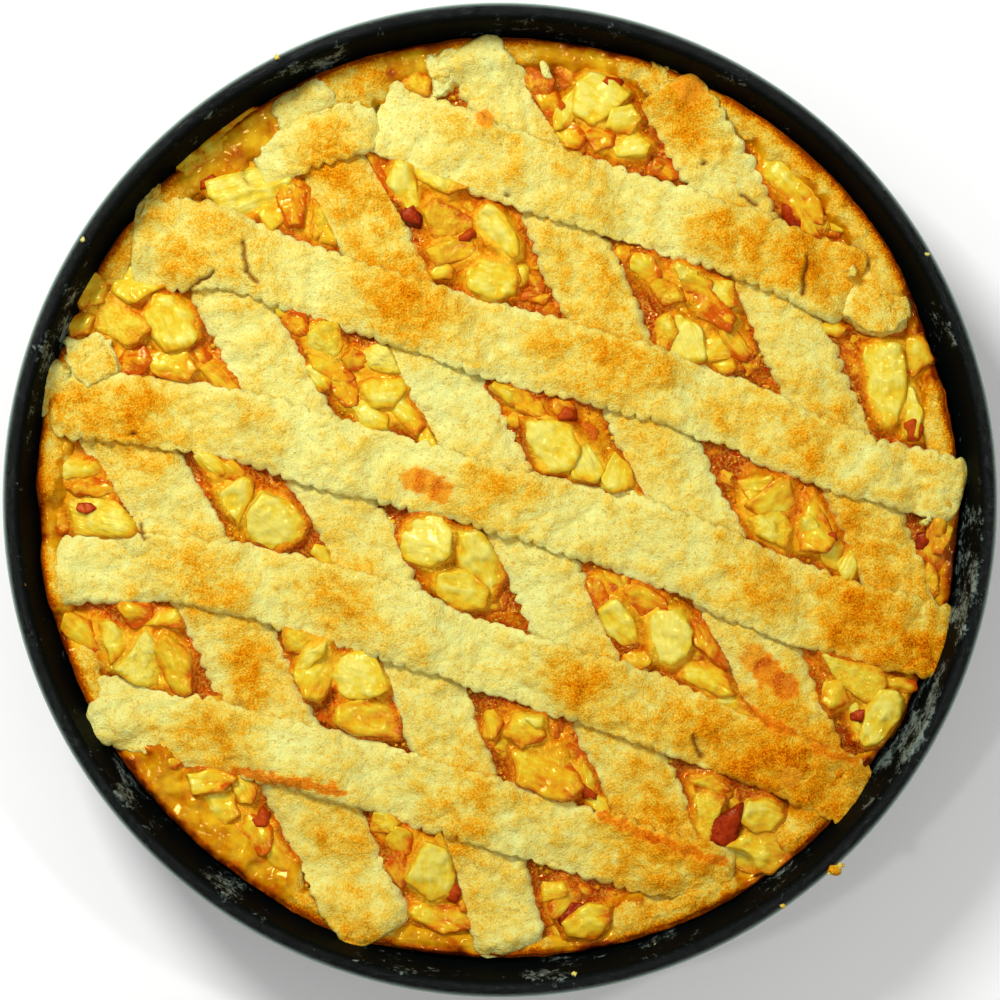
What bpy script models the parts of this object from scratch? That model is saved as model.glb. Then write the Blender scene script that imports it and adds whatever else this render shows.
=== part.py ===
"""Whole lattice apple pie, baked in its own round dark tin.

The construction only: tin, pastry case, filling, two layers of lattice strips,
crust lumps and the larger pieces of apple. The design is written in millimetres
and turned into metres where a mesh is made. +Z is up, and the origin is at the
centre of the tin's base. The strips that run down to the right, at about 20
degrees, lie on top of the steep ones: the lattice is laid, not woven.
"""
import math
from dataclasses import dataclass

import bmesh
import bpy
from mathutils import Vector

METRES_PER_MM = 0.001

# Gaps and fineness
GAP = 0.3  # between neighbours that touch
LIE_GAP = 0.6  # under a piece that lies on the uneven filling
SEGMENTS = 64  # round the tin, the case and the filling
SEGMENT_ANGLE = 360.0 / SEGMENTS
STRIP_STEP = 13.0  # between cross-sections along a strip, at most

# Tin
TIN_HEIGHT = 45.0
TIN_SHEET = 1.0
TIN_FLOOR_RADIUS = 120.0  # inside, at the floor
TIN_MOUTH_RADIUS = 129.0  # inside, at the bead
BEAD_RADIUS = 2.5
BEAD_POINTS = 7
BASE_ROUNDING = 3.0

# Pastry case
CASE_FLOOR_THICKNESS = 3.7
CASE_WALL_THICKNESS = 4.5
CASE_FOOT_HEIGHT = 8.0  # where the inner wall starts to lean out
CASE_FOOT_INSET = 6.0
RIM_HEIGHT = 31.0  # top of the crust above the base, where it is lowest
RIM_SHOULDER = 1.5

# Filling and lattice, heights above the filling's own surface
FILLING_EDGE_HEIGHT = 26.0
FILLING_DOME = 1.6
FILLING_RINGS = (0.94, 0.78, 0.6, 0.42, 0.22)
LOWER_LIFT = 1.8
LOWER_THICKNESS = 4.0
UPPER_THICKNESS = 3.6
UPPER_SAG = 1.6
SAG_MARGIN = 9.5  # past a lower strip's edge before an upper strip sags
STRIP_EDGE_ROUNDING = 2.6

# Lumps
LUMP_SINK = 1.25  # over 1 flattens the underside
END_REACH = 0.8  # room left past a strip's square end
MERGE_DISTANCE = 0.4
FLAT_ANGLE = 1.5

# Colour, roughness and metallic value of each kind of piece
LOOKS = {
    "enamel": ((0.006, 0.008, 0.008), 0.22, 0.0),
    "crust": ((0.62, 0.38, 0.09), 0.7, 0.0),
    "pastry": ((0.80, 0.64, 0.20), 0.65, 0.0),
    "syrup": ((0.66, 0.31, 0.02), 0.2, 0.0),
    "apple": ((0.76, 0.58, 0.12), 0.3, 0.0),
}


@dataclass(frozen=True)
class Swell:
    """A stretch of the rim that stands higher and wider than the rest."""

    angle: float
    half_angle: float
    height: float
    width: float

    def share(self, angle: float) -> float:
        """How much of the swell is felt at an angle, 0 to 1."""
        away = abs((angle - self.angle + 180.0) % 360.0 - 180.0)
        if away >= self.half_angle:
            return 0.0
        return 0.5 + 0.5 * math.cos(math.pi * away / self.half_angle)


@dataclass(frozen=True)
class Strip:
    """One lattice strip: its route as (x, y, width) points, and its layer."""

    name: str
    is_upper: bool
    route: tuple[tuple[float, float, float], ...]


@dataclass(frozen=True)
class Lump:
    """A loose piece on the filling: place, plan size, height, turn and taper."""

    x: float
    y: float
    length: float
    width: float
    rise: float
    turn: float = 0.0
    taper: float = 0.25
    squareness: float = 3.2


RIM_SWELLS = (
    Swell(45.0, 26.0, 4.5, 3.5),
    Swell(5.0, 14.0, 3.5, 2.0),
    Swell(-45.0, 14.0, 4.0, 3.0),
    Swell(-68.0, 14.0, 3.0, 3.5),
    Swell(-90.0, 8.0, 2.0, 1.0),
    Swell(-113.0, 10.0, 2.5, 2.0),
    Swell(-155.0, 10.0, 3.0, 2.0),
    Swell(-172.0, 7.0, 3.5, 2.0),
    Swell(166.0, 8.0, 4.5, 3.0),
    Swell(145.0, 7.0, 4.5, 2.5),
    Swell(112.0, 9.0, 3.5, 3.0),
    Swell(92.0, 7.0, 3.0, 2.0),
)

STRIPS = (
    Strip("upper_strip_1", True, ((-60, 94, 12), (-50, 97, 13), (-41, 100, 12))),
    Strip("upper_strip_2", True, (
        (-26, 102, 20), (12, 87, 20), (54, 74, 19), (78, 65, 19), (95, 57, 20))),
    Strip("upper_strip_3", True, (
        (-96, 70, 22), (-80, 69, 22), (-50, 60, 19), (0, 43, 21), (50, 28, 20),
        (90, 13, 18), (124, 2, 18))),
    Strip("upper_strip_4", True, (
        (-120, 26, 18), (-80, 21, 20), (-40, 10, 20), (0, 0, 19), (40, -12, 21),
        (80, -28, 22), (122, -40, 22))),
    Strip("upper_strip_5", True, (
        (-121, -19, 18), (-80, -20, 19), (-40, -30, 22), (0, -43, 19), (40, -57, 20),
        (70, -68, 18), (98, -80, 18))),
    Strip("upper_strip_6", True, (
        (-110, -57, 18), (-80, -64, 19), (-50, -70, 19), (-20, -80, 19), (10, -89, 19),
        (40, -98, 19), (62, -101, 13))),
    Strip("lower_strip_1", False, (
        (-107, 24, 21), (-93, 2, 21), (-69, -45, 21), (-44, -97, 21), (-31, -120, 20))),
    Strip("lower_strip_2", False, (
        (-82, 72, 18), (-67, 43, 19), (-39, -10, 19), (-17, -59, 19), (4, -121, 19))),
    Strip("lower_strip_3", False, (
        (-54, 108, 17), (-39, 80, 19), (-12, 26, 20), (15, -27, 20), (39, -80, 19),
        (52, -106, 17))),
    Strip("lower_strip_4", False, (
        (-7, 120, 16), (10, 92, 18), (23, 61, 19), (48, 5, 20), (76, -52, 19),
        (90, -80, 17))),
    Strip("lower_strip_5", False, (
        (46, 111, 18), (61, 87, 18), (82, 40, 18), (103, -10, 17), (113, -38, 16))),
)

CRUST_LUMPS = (
    Lump(105, 53, 19, 15, 7.5, 65, 0.1, 2.4),
    Lump(-112, 40, 15, 11, 7.0, 60, 0.2, 3.0),
    Lump(-21, 115, 9, 7, 5.5, 60, 0.3, 3.0),
)

APPLE_PIECES = (
    # Between the rim and the second upper strip
    Lump(23, 109, 17, 11, 6.5, 75),
    Lump(33, 99, 11, 8, 6.5, 100, 0.1, 2.2),
    Lump(82, 85, 17, 11, 6.0, -45),
    Lump(-20, 82, 15, 13, 7.0, 20, 0.3),
    Lump(-1, 74, 15, 10, 7.5, 80),
    # Between the second and third upper strips
    Lump(-69, 86, 22, 12, 6.5, 25, 0.4),
    Lump(-4, 61, 13, 8, 6.0, 10),
    Lump(-13, 69, 9, 8, 5.5, 60),
    Lump(46, 54, 13, 11, 7.0, 20),
    Lump(60, 50, 20, 8, 8.0, -55),
    # Left end, above the fourth upper strip
    Lump(-99, 48, 13, 11, 6.5, 15),
    Lump(-88, 45, 15, 11, 7.5, 80),
    # Between the third and fourth upper strips
    Lump(-46, 42, 17, 12, 7.5, 65, 0.3),
    Lump(-32, 30, 15, 12, 6.5, 40),
    Lump(15, 17, 17, 12, 7.5, 100, 0.3),
    Lump(28, 8, 12, 10, 6.5, 30),
    Lump(72, 5, 13, 9, 6.0, 20),
    Lump(105, 32, 20, 13, 6.5, 80, 0.35),
    Lump(75, -7, 11, 8, 7.0, 0),
    Lump(86, -11, 10, 9, 7.0, 40),
    # Between the fourth and fifth upper strips
    Lump(-76, 5, 14, 10, 6.5, 75),
    Lump(-61, -4, 15, 12, 7.0, 20, 0.1, 2.2),
    Lump(-109, -3, 15, 11, 6.0, 30),
    Lump(-20, -11, 15, 13, 7.5, 10, 0.1, 2.2),
    Lump(-7, -20, 15, 10, 6.5, 70),
    Lump(33, -32, 12, 10, 6.5, 60),
    Lump(46, -38, 15, 12, 8.0, 80, 0.1, 2.2),
    Lump(58, -49, 21, 8, 6.5, -30),
    Lump(97, -48, 16, 11, 6.5, 20, 0.4),
    # Between the fifth and sixth upper strips
    Lump(-101, -43, 14, 13, 7.0, 50, 0.5),
    Lump(-87, -44, 16, 9, 7.0, 95),
    Lump(-50, -44, 15, 11, 7.5, 75),
    Lump(-37, -54, 16, 12, 6.5, 15),
    Lump(9, -68, 17, 12, 7.0, 20),
    Lump(60, -86, 14, 11, 6.5, 70),
    Lump(73, -86, 12, 9, 6.0, 20),
    # Below the sixth upper strip
    Lump(-84, -81, 18, 13, 6.5, -35, 0.3),
    Lump(-66, -93, 16, 12, 6.0, -30, 0.3),
    Lump(-18, -102, 16, 13, 7.0, 80, 0.1, 2.2),
    Lump(22, -112, 15, 10, 5.5, -10),
)


def tin_inner_radius(height: float) -> float:
    """Inside radius of the tin's leaning wall at a height."""
    share = (height - TIN_SHEET) / (TIN_HEIGHT - BEAD_RADIUS - TIN_SHEET)
    return TIN_FLOOR_RADIUS + (TIN_MOUTH_RADIUS - TIN_FLOOR_RADIUS) * share


def rim_height(angle: float) -> float:
    """Height of the crust's crest at an angle in degrees."""
    return RIM_HEIGHT + sum(swell.height * swell.share(angle) for swell in RIM_SWELLS)


def rim_width(angle: float) -> float:
    """Thickness of the crust's top at an angle in degrees."""
    return CASE_WALL_THICKNESS + sum(swell.width * swell.share(angle) for swell in RIM_SWELLS)


def case_inner_radius(angle: float, height: float) -> float:
    """Inside radius of the pastry case, which thickens towards its rim."""
    foot = tin_inner_radius(CASE_FOOT_HEIGHT) - GAP - CASE_WALL_THICKNESS
    top_height = rim_height(angle) - RIM_SHOULDER
    top = tin_inner_radius(top_height) - GAP - rim_width(angle)
    share = (height - CASE_FOOT_HEIGHT) / (top_height - CASE_FOOT_HEIGHT)
    return foot + (top - foot) * share


def filling_height(x: float, y: float) -> float:
    """Height of the filling's gently domed surface."""
    share = min(1.0, math.hypot(x, y) / TIN_FLOOR_RADIUS)
    return FILLING_EDGE_HEIGHT + FILLING_DOME * (1.0 - share * share)


def tin_profile(_angle: float) -> list[tuple[float, float]]:
    """Half section of the tin, from under its centre round the bead to the floor inside."""
    bead_height = TIN_HEIGHT - BEAD_RADIUS
    bead_centre = TIN_MOUTH_RADIUS + BEAD_RADIUS
    outside = TIN_FLOOR_RADIUS + TIN_SHEET
    points = [
        (0.0, 0.0),
        (outside - BASE_ROUNDING, 0.0),
        (outside - 0.3 * BASE_ROUNDING, 0.3 * BASE_ROUNDING),
        (tin_inner_radius(BASE_ROUNDING) + TIN_SHEET, BASE_ROUNDING),
        (tin_inner_radius(bead_height - BEAD_RADIUS) + TIN_SHEET, bead_height - BEAD_RADIUS - 0.4),
    ]
    for index in range(BEAD_POINTS):
        turn = math.radians(-90.0 + 270.0 * index / (BEAD_POINTS - 1))
        points.append((
            bead_centre + BEAD_RADIUS * math.cos(turn),
            bead_height + BEAD_RADIUS * math.sin(turn),
        ))
    points.append((TIN_FLOOR_RADIUS, TIN_SHEET))
    points.append((0.0, TIN_SHEET))
    return points


def case_profile(angle: float) -> list[tuple[float, float]]:
    """Half section of the pastry case at an angle: base, outer wall, crest and inner wall."""
    base = TIN_SHEET + GAP
    crest = rim_height(angle)
    shoulder = crest - RIM_SHOULDER
    outer = tin_inner_radius(shoulder) - GAP
    return [
        (0.0, base),
        (tin_inner_radius(base) - GAP - 0.5, base),
        (tin_inner_radius(base + 1.0) - GAP, base + 1.0),
        (outer, shoulder),
        (outer - 0.22 * rim_width(angle), crest - 0.2),
        (outer - 0.6 * rim_width(angle), crest),
        (case_inner_radius(angle, shoulder), shoulder),
        (case_inner_radius(angle, CASE_FOOT_HEIGHT), CASE_FOOT_HEIGHT),
        (TIN_FLOOR_RADIUS - CASE_FOOT_INSET, base + CASE_FLOOR_THICKNESS),
        (0.0, base + CASE_FLOOR_THICKNESS),
    ]


def filling_profile(angle: float) -> list[tuple[float, float]]:
    """Half section of the filling at an angle: flat under, domed on top."""
    base = TIN_SHEET + CASE_FLOOR_THICKNESS + 2.0 * GAP
    edge = case_inner_radius(angle, FILLING_EDGE_HEIGHT) - GAP
    direction = Vector((math.cos(math.radians(angle)), math.sin(math.radians(angle))))
    points = [
        (0.0, base),
        (TIN_FLOOR_RADIUS - CASE_FOOT_INSET - GAP, base),
        (case_inner_radius(angle, CASE_FOOT_HEIGHT) - GAP, CASE_FOOT_HEIGHT + 0.2),
        (edge, filling_height(*(direction * edge))),
    ]
    for share in FILLING_RINGS:
        points.append((edge * share, filling_height(*(direction * edge * share))))
    points.append((0.0, filling_height(0.0, 0.0)))
    return points


def turned_mesh(profile_at) -> bmesh.types.BMesh:
    """A closed body turned about Z from a half section that may vary with the angle."""
    shape = bmesh.new()
    sections = []
    for segment in range(SEGMENTS):
        angle = SEGMENT_ANGLE * segment
        sections.append([point_at(radius, angle, height) for radius, height in profile_at(angle)])
    first = shape.verts.new(sections[0][0])
    last = shape.verts.new(sections[0][-1])
    rings = [[shape.verts.new(point) for point in section[1:-1]] for section in sections]
    for segment, ring in enumerate(rings):
        following = rings[(segment + 1) % SEGMENTS]
        shape.faces.new((first, following[0], ring[0]))
        shape.faces.new((last, ring[-1], following[-1]))
        for index in range(len(ring) - 1):
            shape.faces.new((ring[index], following[index], following[index + 1], ring[index + 1]))
    return shape


def point_at(radius: float, angle: float, height: float) -> Vector:
    """A point from its radius, its angle in degrees and its height."""
    turn = math.radians(angle)
    return Vector((radius * math.cos(turn), radius * math.sin(turn), height))


def smooth_route(route) -> list[Vector]:
    """Points (x, y, width) along a smooth curve through a route, evenly stepped."""
    knots = [Vector(point) for point in route]
    knots = [2.0 * knots[0] - knots[1]] + knots + [2.0 * knots[-1] - knots[-2]]
    fine = []
    for index in range(1, len(knots) - 2):
        before, start, end, after = knots[index - 1:index + 3]
        length = (end - start).to_2d().length
        steps = max(2, math.ceil(length / STRIP_STEP))
        for step in range(steps):
            fine.append(curve_point(before, start, end, after, step / steps))
    fine.append(knots[-2])
    return fine


def curve_point(before, start, end, after, share: float) -> Vector:
    """A point on the Catmull-Rom curve between two knots."""
    square = share * share
    cube = square * share
    return 0.5 * (
        2.0 * start
        + (end - before) * share
        + (2.0 * before - 5.0 * start + 4.0 * end - after) * square
        + (3.0 * start - 3.0 * end + after - before) * cube
    )


def nearest_station(x: float, y: float, stations) -> tuple[Vector, Vector]:
    """The point (x, y, width) of a strip's centreline nearest to a place, and its direction."""
    place = Vector((x, y))
    spots = []
    for start, end in zip(stations, stations[1:]):
        run = (end - start).to_2d()
        share = max(0.0, min(1.0, (place - start.to_2d()).dot(run) / run.length_squared))
        spots.append((start.lerp(end, share), run.normalized()))
    return min(spots, key=lambda spot: (place - spot[0].to_2d()).length)


def distance_past_edge(x: float, y: float, stations) -> float:
    """How far a point lies outside a strip's edge, negative on the strip."""
    here, _ = nearest_station(x, y, stations)
    return (Vector((x, y)) - here.to_2d()).length - 0.5 * here.z


LOWER_STATIONS = [smooth_route(strip.route) for strip in STRIPS if not strip.is_upper]
UPPER_STATIONS = [smooth_route(strip.route) for strip in STRIPS if strip.is_upper]


def lower_underside(x: float, y: float) -> float:
    """Height of the underside of the lower strips."""
    return filling_height(x, y) + LOWER_LIFT


def upper_underside(x: float, y: float) -> float:
    """Height of the underside of the upper strips, which sag between the lower ones."""
    past = min(distance_past_edge(x, y, stations) for stations in LOWER_STATIONS)
    sag = UPPER_SAG * max(0.0, min(1.0, (past - SAG_MARGIN) / 4.0))
    return lower_underside(x, y) + LOWER_THICKNESS + GAP + 0.1 - sag


def inside_case(x: float, y: float) -> tuple[float, float]:
    """The point itself, or the nearest one that clears the pastry case all the way up."""
    radius = math.hypot(x, y)
    if radius == 0.0:
        return x, y
    reach = min(
        case_inner_radius(math.degrees(math.atan2(y, x)) + offset, height)
        for offset in (-SEGMENT_ANGLE, 0.0, SEGMENT_ANGLE)
        for height in (FILLING_EDGE_HEIGHT, RIM_HEIGHT)
    )
    share = min(1.0, (reach - LIE_GAP) / radius)
    return x * share, y * share


def strip_mesh(strip: Strip) -> bmesh.types.BMesh:
    """A strip swept along its route, lying on what is under it."""
    underside = upper_underside if strip.is_upper else lower_underside
    thickness = UPPER_THICKNESS if strip.is_upper else LOWER_THICKNESS
    stations = smooth_route(strip.route)
    shape = bmesh.new()
    rings = []
    for index, station in enumerate(stations):
        before = stations[max(0, index - 1)]
        after = stations[min(len(stations) - 1, index + 1)]
        along = (after - before).to_2d().normalized()
        across = Vector((-along.y, along.x))
        ring = []
        for offset, lift in strip_section(station.z, thickness):
            place = station.to_2d() + across * offset
            x, y = inside_case(place.x, place.y)
            ring.append(shape.verts.new((x, y, underside(x, y) + lift)))
        rings.append(ring)
    close_loft(shape, rings)
    return shape


def strip_section(width: float, thickness: float) -> list[tuple[float, float]]:
    """A strip's cross-section: flat under, with rounded upper edges."""
    half = 0.5 * width
    inner = half - STRIP_EDGE_ROUNDING
    return [
        (-half + 0.6, 0.0),
        (half - 0.6, 0.0),
        (half, 0.42 * thickness),
        (inner, thickness),
        (-inner, thickness),
        (-half, 0.42 * thickness),
    ]


def close_loft(shape: bmesh.types.BMesh, rings) -> None:
    """Faces between rings of equal length, and a cap at each end."""
    count = len(rings[0])
    for ring, following in zip(rings, rings[1:]):
        for index in range(count):
            beside = (index + 1) % count
            shape.faces.new((ring[index], ring[beside], following[beside], following[index]))
    shape.faces.new(tuple(reversed(rings[0])))
    shape.faces.new(tuple(rings[-1]))


def lump_reach(lump: Lump, direction: Vector) -> float:
    """Half size of a lump in plan along a direction."""
    turn = math.radians(lump.turn)
    along = direction.x * math.cos(turn) + direction.y * math.sin(turn)
    across = direction.y * math.cos(turn) - direction.x * math.sin(turn)
    return 0.5 * math.hypot(lump.length * along, lump.width * across)


def lump_walls(lump: Lump, others) -> list[tuple[Vector, float]]:
    """Upright planes that a lump stays behind, each a direction and a distance from its centre."""
    centre = Vector((lump.x, lump.y))
    walls = []
    for other in others:
        apart = Vector((other.x, other.y)) - centre
        direction = apart.normalized()
        own = lump_reach(lump, direction)
        share = own / (own + lump_reach(other, direction))
        walls.append((direction, apart.length * share - 0.6 * GAP))
    for stations in LOWER_STATIONS + UPPER_STATIONS:
        here, along = nearest_station(lump.x, lump.y, stations)
        apart = here.to_2d() - centre
        direction = apart.normalized()
        reach = 0.5 * here.z * abs(along.cross(direction)) + END_REACH * abs(along.dot(direction))
        walls.append((direction, apart.length - reach - LIE_GAP))
    rim = Vector(inside_case(*(centre.normalized() * TIN_MOUTH_RADIUS)))
    walls.append((centre.normalized(), rim.length - centre.length - LIE_GAP))
    return walls


def lump_mesh(lump: Lump, others) -> bmesh.types.BMesh:
    """A cut piece with rounded edges, flat where it lies and flat against its neighbours."""
    shape = bmesh.new()
    bmesh.ops.create_icosphere(shape, subdivisions=2, radius=1.0)
    bmesh.ops.delete(shape, geom=shape.edges, context="EDGES_FACES")
    walls = lump_walls(lump, others)
    turn = math.radians(lump.turn)
    floor = filling_height(lump.x, lump.y) + LIE_GAP
    for vertex in shape.verts:
        size = sum(abs(value) ** lump.squareness for value in vertex.co) ** (1.0 / lump.squareness)
        local = vertex.co / size
        along = 0.5 * lump.length * local.x
        across = 0.5 * lump.width * local.y * (1.0 - lump.taper * local.x)
        offset = Vector((
            along * math.cos(turn) - across * math.sin(turn),
            along * math.sin(turn) + across * math.cos(turn),
        ))
        for direction, limit in walls * 3:
            offset -= direction * max(0.0, offset.dot(direction) - limit)
        lift = 0.5 * lump.rise * max(0.0, 1.0 + LUMP_SINK * local.z)
        vertex.co = (lump.x + offset.x, lump.y + offset.y, floor + lift)
    wrap_convex(shape)
    return shape


def wrap_convex(shape: bmesh.types.BMesh) -> None:
    """Replace loose points by the clean convex body round them."""
    bmesh.ops.remove_doubles(shape, verts=shape.verts, dist=MERGE_DISTANCE)
    bmesh.ops.convex_hull(shape, input=shape.verts)
    inner = [vertex for vertex in shape.verts if not vertex.link_faces]
    bmesh.ops.delete(shape, geom=inner, context="VERTS")
    bmesh.ops.dissolve_limit(
        shape, angle_limit=math.radians(FLAT_ANGLE), verts=shape.verts, edges=shape.edges)
    bmesh.ops.recalc_face_normals(shape, faces=shape.faces)


def add_piece(name: str, shape: bmesh.types.BMesh, look: str, smooth_angle: float) -> None:
    """Turn a shape in millimetres into a named object with its own material."""
    bmesh.ops.scale(shape, vec=Vector.Fill(3, METRES_PER_MM), verts=shape.verts)
    bmesh.ops.triangulate(shape, faces=shape.faces)
    mesh = bpy.data.meshes.new(name)
    shape.to_mesh(mesh)
    shape.free()
    mesh.shade_smooth()
    mesh.set_sharp_from_angle(angle=math.radians(smooth_angle))
    mesh.materials.append(piece_material(name, look))
    bpy.context.scene.collection.objects.link(bpy.data.objects.new(name, mesh))


def piece_material(name: str, look: str) -> bpy.types.Material:
    """A plain Principled material of one of the looks."""
    colour, roughness, metallic = LOOKS[look]
    material = bpy.data.materials.new(f"{look} of {name}")
    material.use_nodes = True
    shader = material.node_tree.nodes["Principled BSDF"]
    shader.inputs["Base Color"].default_value = (*colour, 1.0)
    shader.inputs["Roughness"].default_value = roughness
    shader.inputs["Metallic"].default_value = metallic
    return material


def clear_scene() -> None:
    """Remove whatever the scene starts with."""
    for item in list(bpy.data.objects):
        bpy.data.objects.remove(item, do_unlink=True)


def build_lumps(prefix: str, lumps, look: str) -> None:
    """Numbered loose pieces, each clear of all the others."""
    everything = CRUST_LUMPS + APPLE_PIECES
    for number, lump in enumerate(lumps, start=1):
        others = [other for other in everything if other is not lump and near(lump, other)]
        add_piece(f"{prefix}_{number:02d}", lump_mesh(lump, others), look, 50.0)


def near(lump: Lump, other: Lump) -> bool:
    """Whether two lumps lie close enough to need a plane between them."""
    apart = math.hypot(lump.x - other.x, lump.y - other.y)
    return apart < lump.length + other.length


def main() -> None:
    """Build the whole pie."""
    clear_scene()
    add_piece("tin", turned_mesh(tin_profile), "enamel", 40.0)
    add_piece("pastry_case", turned_mesh(case_profile), "crust", 60.0)
    add_piece("filling", turned_mesh(filling_profile), "syrup", 40.0)
    for strip in STRIPS:
        add_piece(strip.name, strip_mesh(strip), "pastry", 60.0)
    build_lumps("crust_lump", CRUST_LUMPS, "crust")
    build_lumps("apple_piece", APPLE_PIECES, "apple")


main()
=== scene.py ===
"""Looks of the lattice apple pie in its round dark tin.

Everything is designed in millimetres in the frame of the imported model, and turned into
metres where a mesh is made. The pie is dressed from the tin inwards: enamelled tin with
its baked-on film, crust round the rim, syrup and soft fruit, proud pieces of apple, and
two layers of pinked pastry strips, the upper ones draped over the lower ones.
"""
import logging
import math
from dataclasses import dataclass, field
from enum import Enum

import bpy
import numpy as np
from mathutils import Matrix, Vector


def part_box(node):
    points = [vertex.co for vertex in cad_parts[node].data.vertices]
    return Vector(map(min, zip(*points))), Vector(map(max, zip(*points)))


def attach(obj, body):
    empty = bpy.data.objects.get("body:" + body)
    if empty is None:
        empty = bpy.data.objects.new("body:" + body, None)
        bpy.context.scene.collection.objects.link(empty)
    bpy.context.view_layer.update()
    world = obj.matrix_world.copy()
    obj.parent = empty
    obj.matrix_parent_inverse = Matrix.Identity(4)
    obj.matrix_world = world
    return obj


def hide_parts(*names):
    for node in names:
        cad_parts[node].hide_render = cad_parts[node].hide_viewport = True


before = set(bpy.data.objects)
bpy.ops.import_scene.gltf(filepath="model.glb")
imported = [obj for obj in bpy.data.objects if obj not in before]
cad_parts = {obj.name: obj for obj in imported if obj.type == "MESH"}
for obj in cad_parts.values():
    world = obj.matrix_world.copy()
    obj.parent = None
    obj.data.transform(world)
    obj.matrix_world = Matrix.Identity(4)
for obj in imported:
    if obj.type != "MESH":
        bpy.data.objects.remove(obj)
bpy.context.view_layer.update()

METRES_PER_MM = 0.001
LOG = logging.getLogger("pie")

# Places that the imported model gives, in millimetres
TIN_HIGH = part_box("tin")[1] / METRES_PER_MM
FILLING_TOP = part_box("filling")[1].z / METRES_PER_MM
RIM_RADIUS = TIN_HIGH.x
BEAD_RADIUS = 2.5
MOUTH_RADIUS = RIM_RADIUS - 2.0 * BEAD_RADIUS
FLOOR_RADIUS = 120.0
SHEET = 1.0
PIE_RADIUS = 126.6
DOME = 1.6


# ---------------------------------------------------------------------------
# Fields and curves


class Noise:
    """Smooth repeatable gradient noise, about -1 to 1."""

    TABLE_SIZE = 2048

    def __init__(self, seed: int) -> None:
        """Fill the tables.

        Args:
            seed: picks the pattern.
        """
        draw = np.random.default_rng(seed)
        self.order = draw.permutation(self.TABLE_SIZE)
        slopes = draw.normal(size=(self.TABLE_SIZE, 3))
        self.slopes = slopes / np.linalg.norm(slopes, axis=1, keepdims=True)

    def at(self, points: np.ndarray, size: float) -> np.ndarray:
        """Noise of one size.

        Args:
            points: places, one row each, in millimetres.
            size: distance between neighbouring lumps in millimetres.

        Returns:
            One value for each place.
        """
        scaled = points / size + 1000.0
        cell = np.floor(scaled).astype(np.int64)
        inside = scaled - cell
        fade = inside * inside * inside * (inside * (inside * 6.0 - 15.0) + 10.0)
        total = np.zeros(len(points))
        for corner in range(8):
            step = np.array((corner & 1, corner >> 1 & 1, corner >> 2 & 1))
            weight = np.prod(np.where(step == 1, fade, 1.0 - fade), axis=1)
            slope = self.slopes[self._pick(cell + step)]
            total += weight * np.einsum("ij,ij->i", slope, inside - step)
        return total * 1.6

    def _pick(self, cell: np.ndarray) -> np.ndarray:
        """Table entry of each cell corner."""
        last = self.TABLE_SIZE - 1
        first = self.order[cell[:, 0] & last]
        second = self.order[(first + cell[:, 1]) & last]
        return self.order[(second + cell[:, 2]) & last]

    def layered(self, points: np.ndarray, size: float, layers: int = 3) -> np.ndarray:
        """Noise with finer layers on top, each half the size and half the strength.

        Args:
            points: places, one row each, in millimetres.
            size: size of the coarsest lumps in millimetres.
            layers: how many layers.

        Returns:
            One value for each place.
        """
        total = np.zeros(len(points))
        for layer in range(layers):
            total += self.at(points + 37.0 * layer, size / 2.0 ** layer) / 2.0 ** layer
        return total


def ease(value: np.ndarray, low: float, high: float) -> np.ndarray:
    """Smooth step from 0 at low to 1 at high."""
    share = np.clip((value - low) / (high - low), 0.0, 1.0)
    return share * share * (3.0 - 2.0 * share)


def flat(points: np.ndarray) -> np.ndarray:
    """Places in plan as rows of three, at height 0."""
    return np.column_stack((points[:, 0], points[:, 1], np.zeros(len(points))))


def filling_height(points: np.ndarray) -> np.ndarray:
    """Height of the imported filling's domed surface under each place in plan."""
    share = np.minimum(1.0, np.hypot(points[:, 0], points[:, 1]) / FLOOR_RADIUS)
    return FILLING_TOP - DOME * share * share


def wall_radius(height: np.ndarray) -> np.ndarray:
    """Inside radius of the tin's leaning wall at a height."""
    share = (height - SHEET) / (TIN_HIGH.z - BEAD_RADIUS - SHEET)
    return FLOOR_RADIUS + (MOUTH_RADIUS - FLOOR_RADIUS) * share


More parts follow.
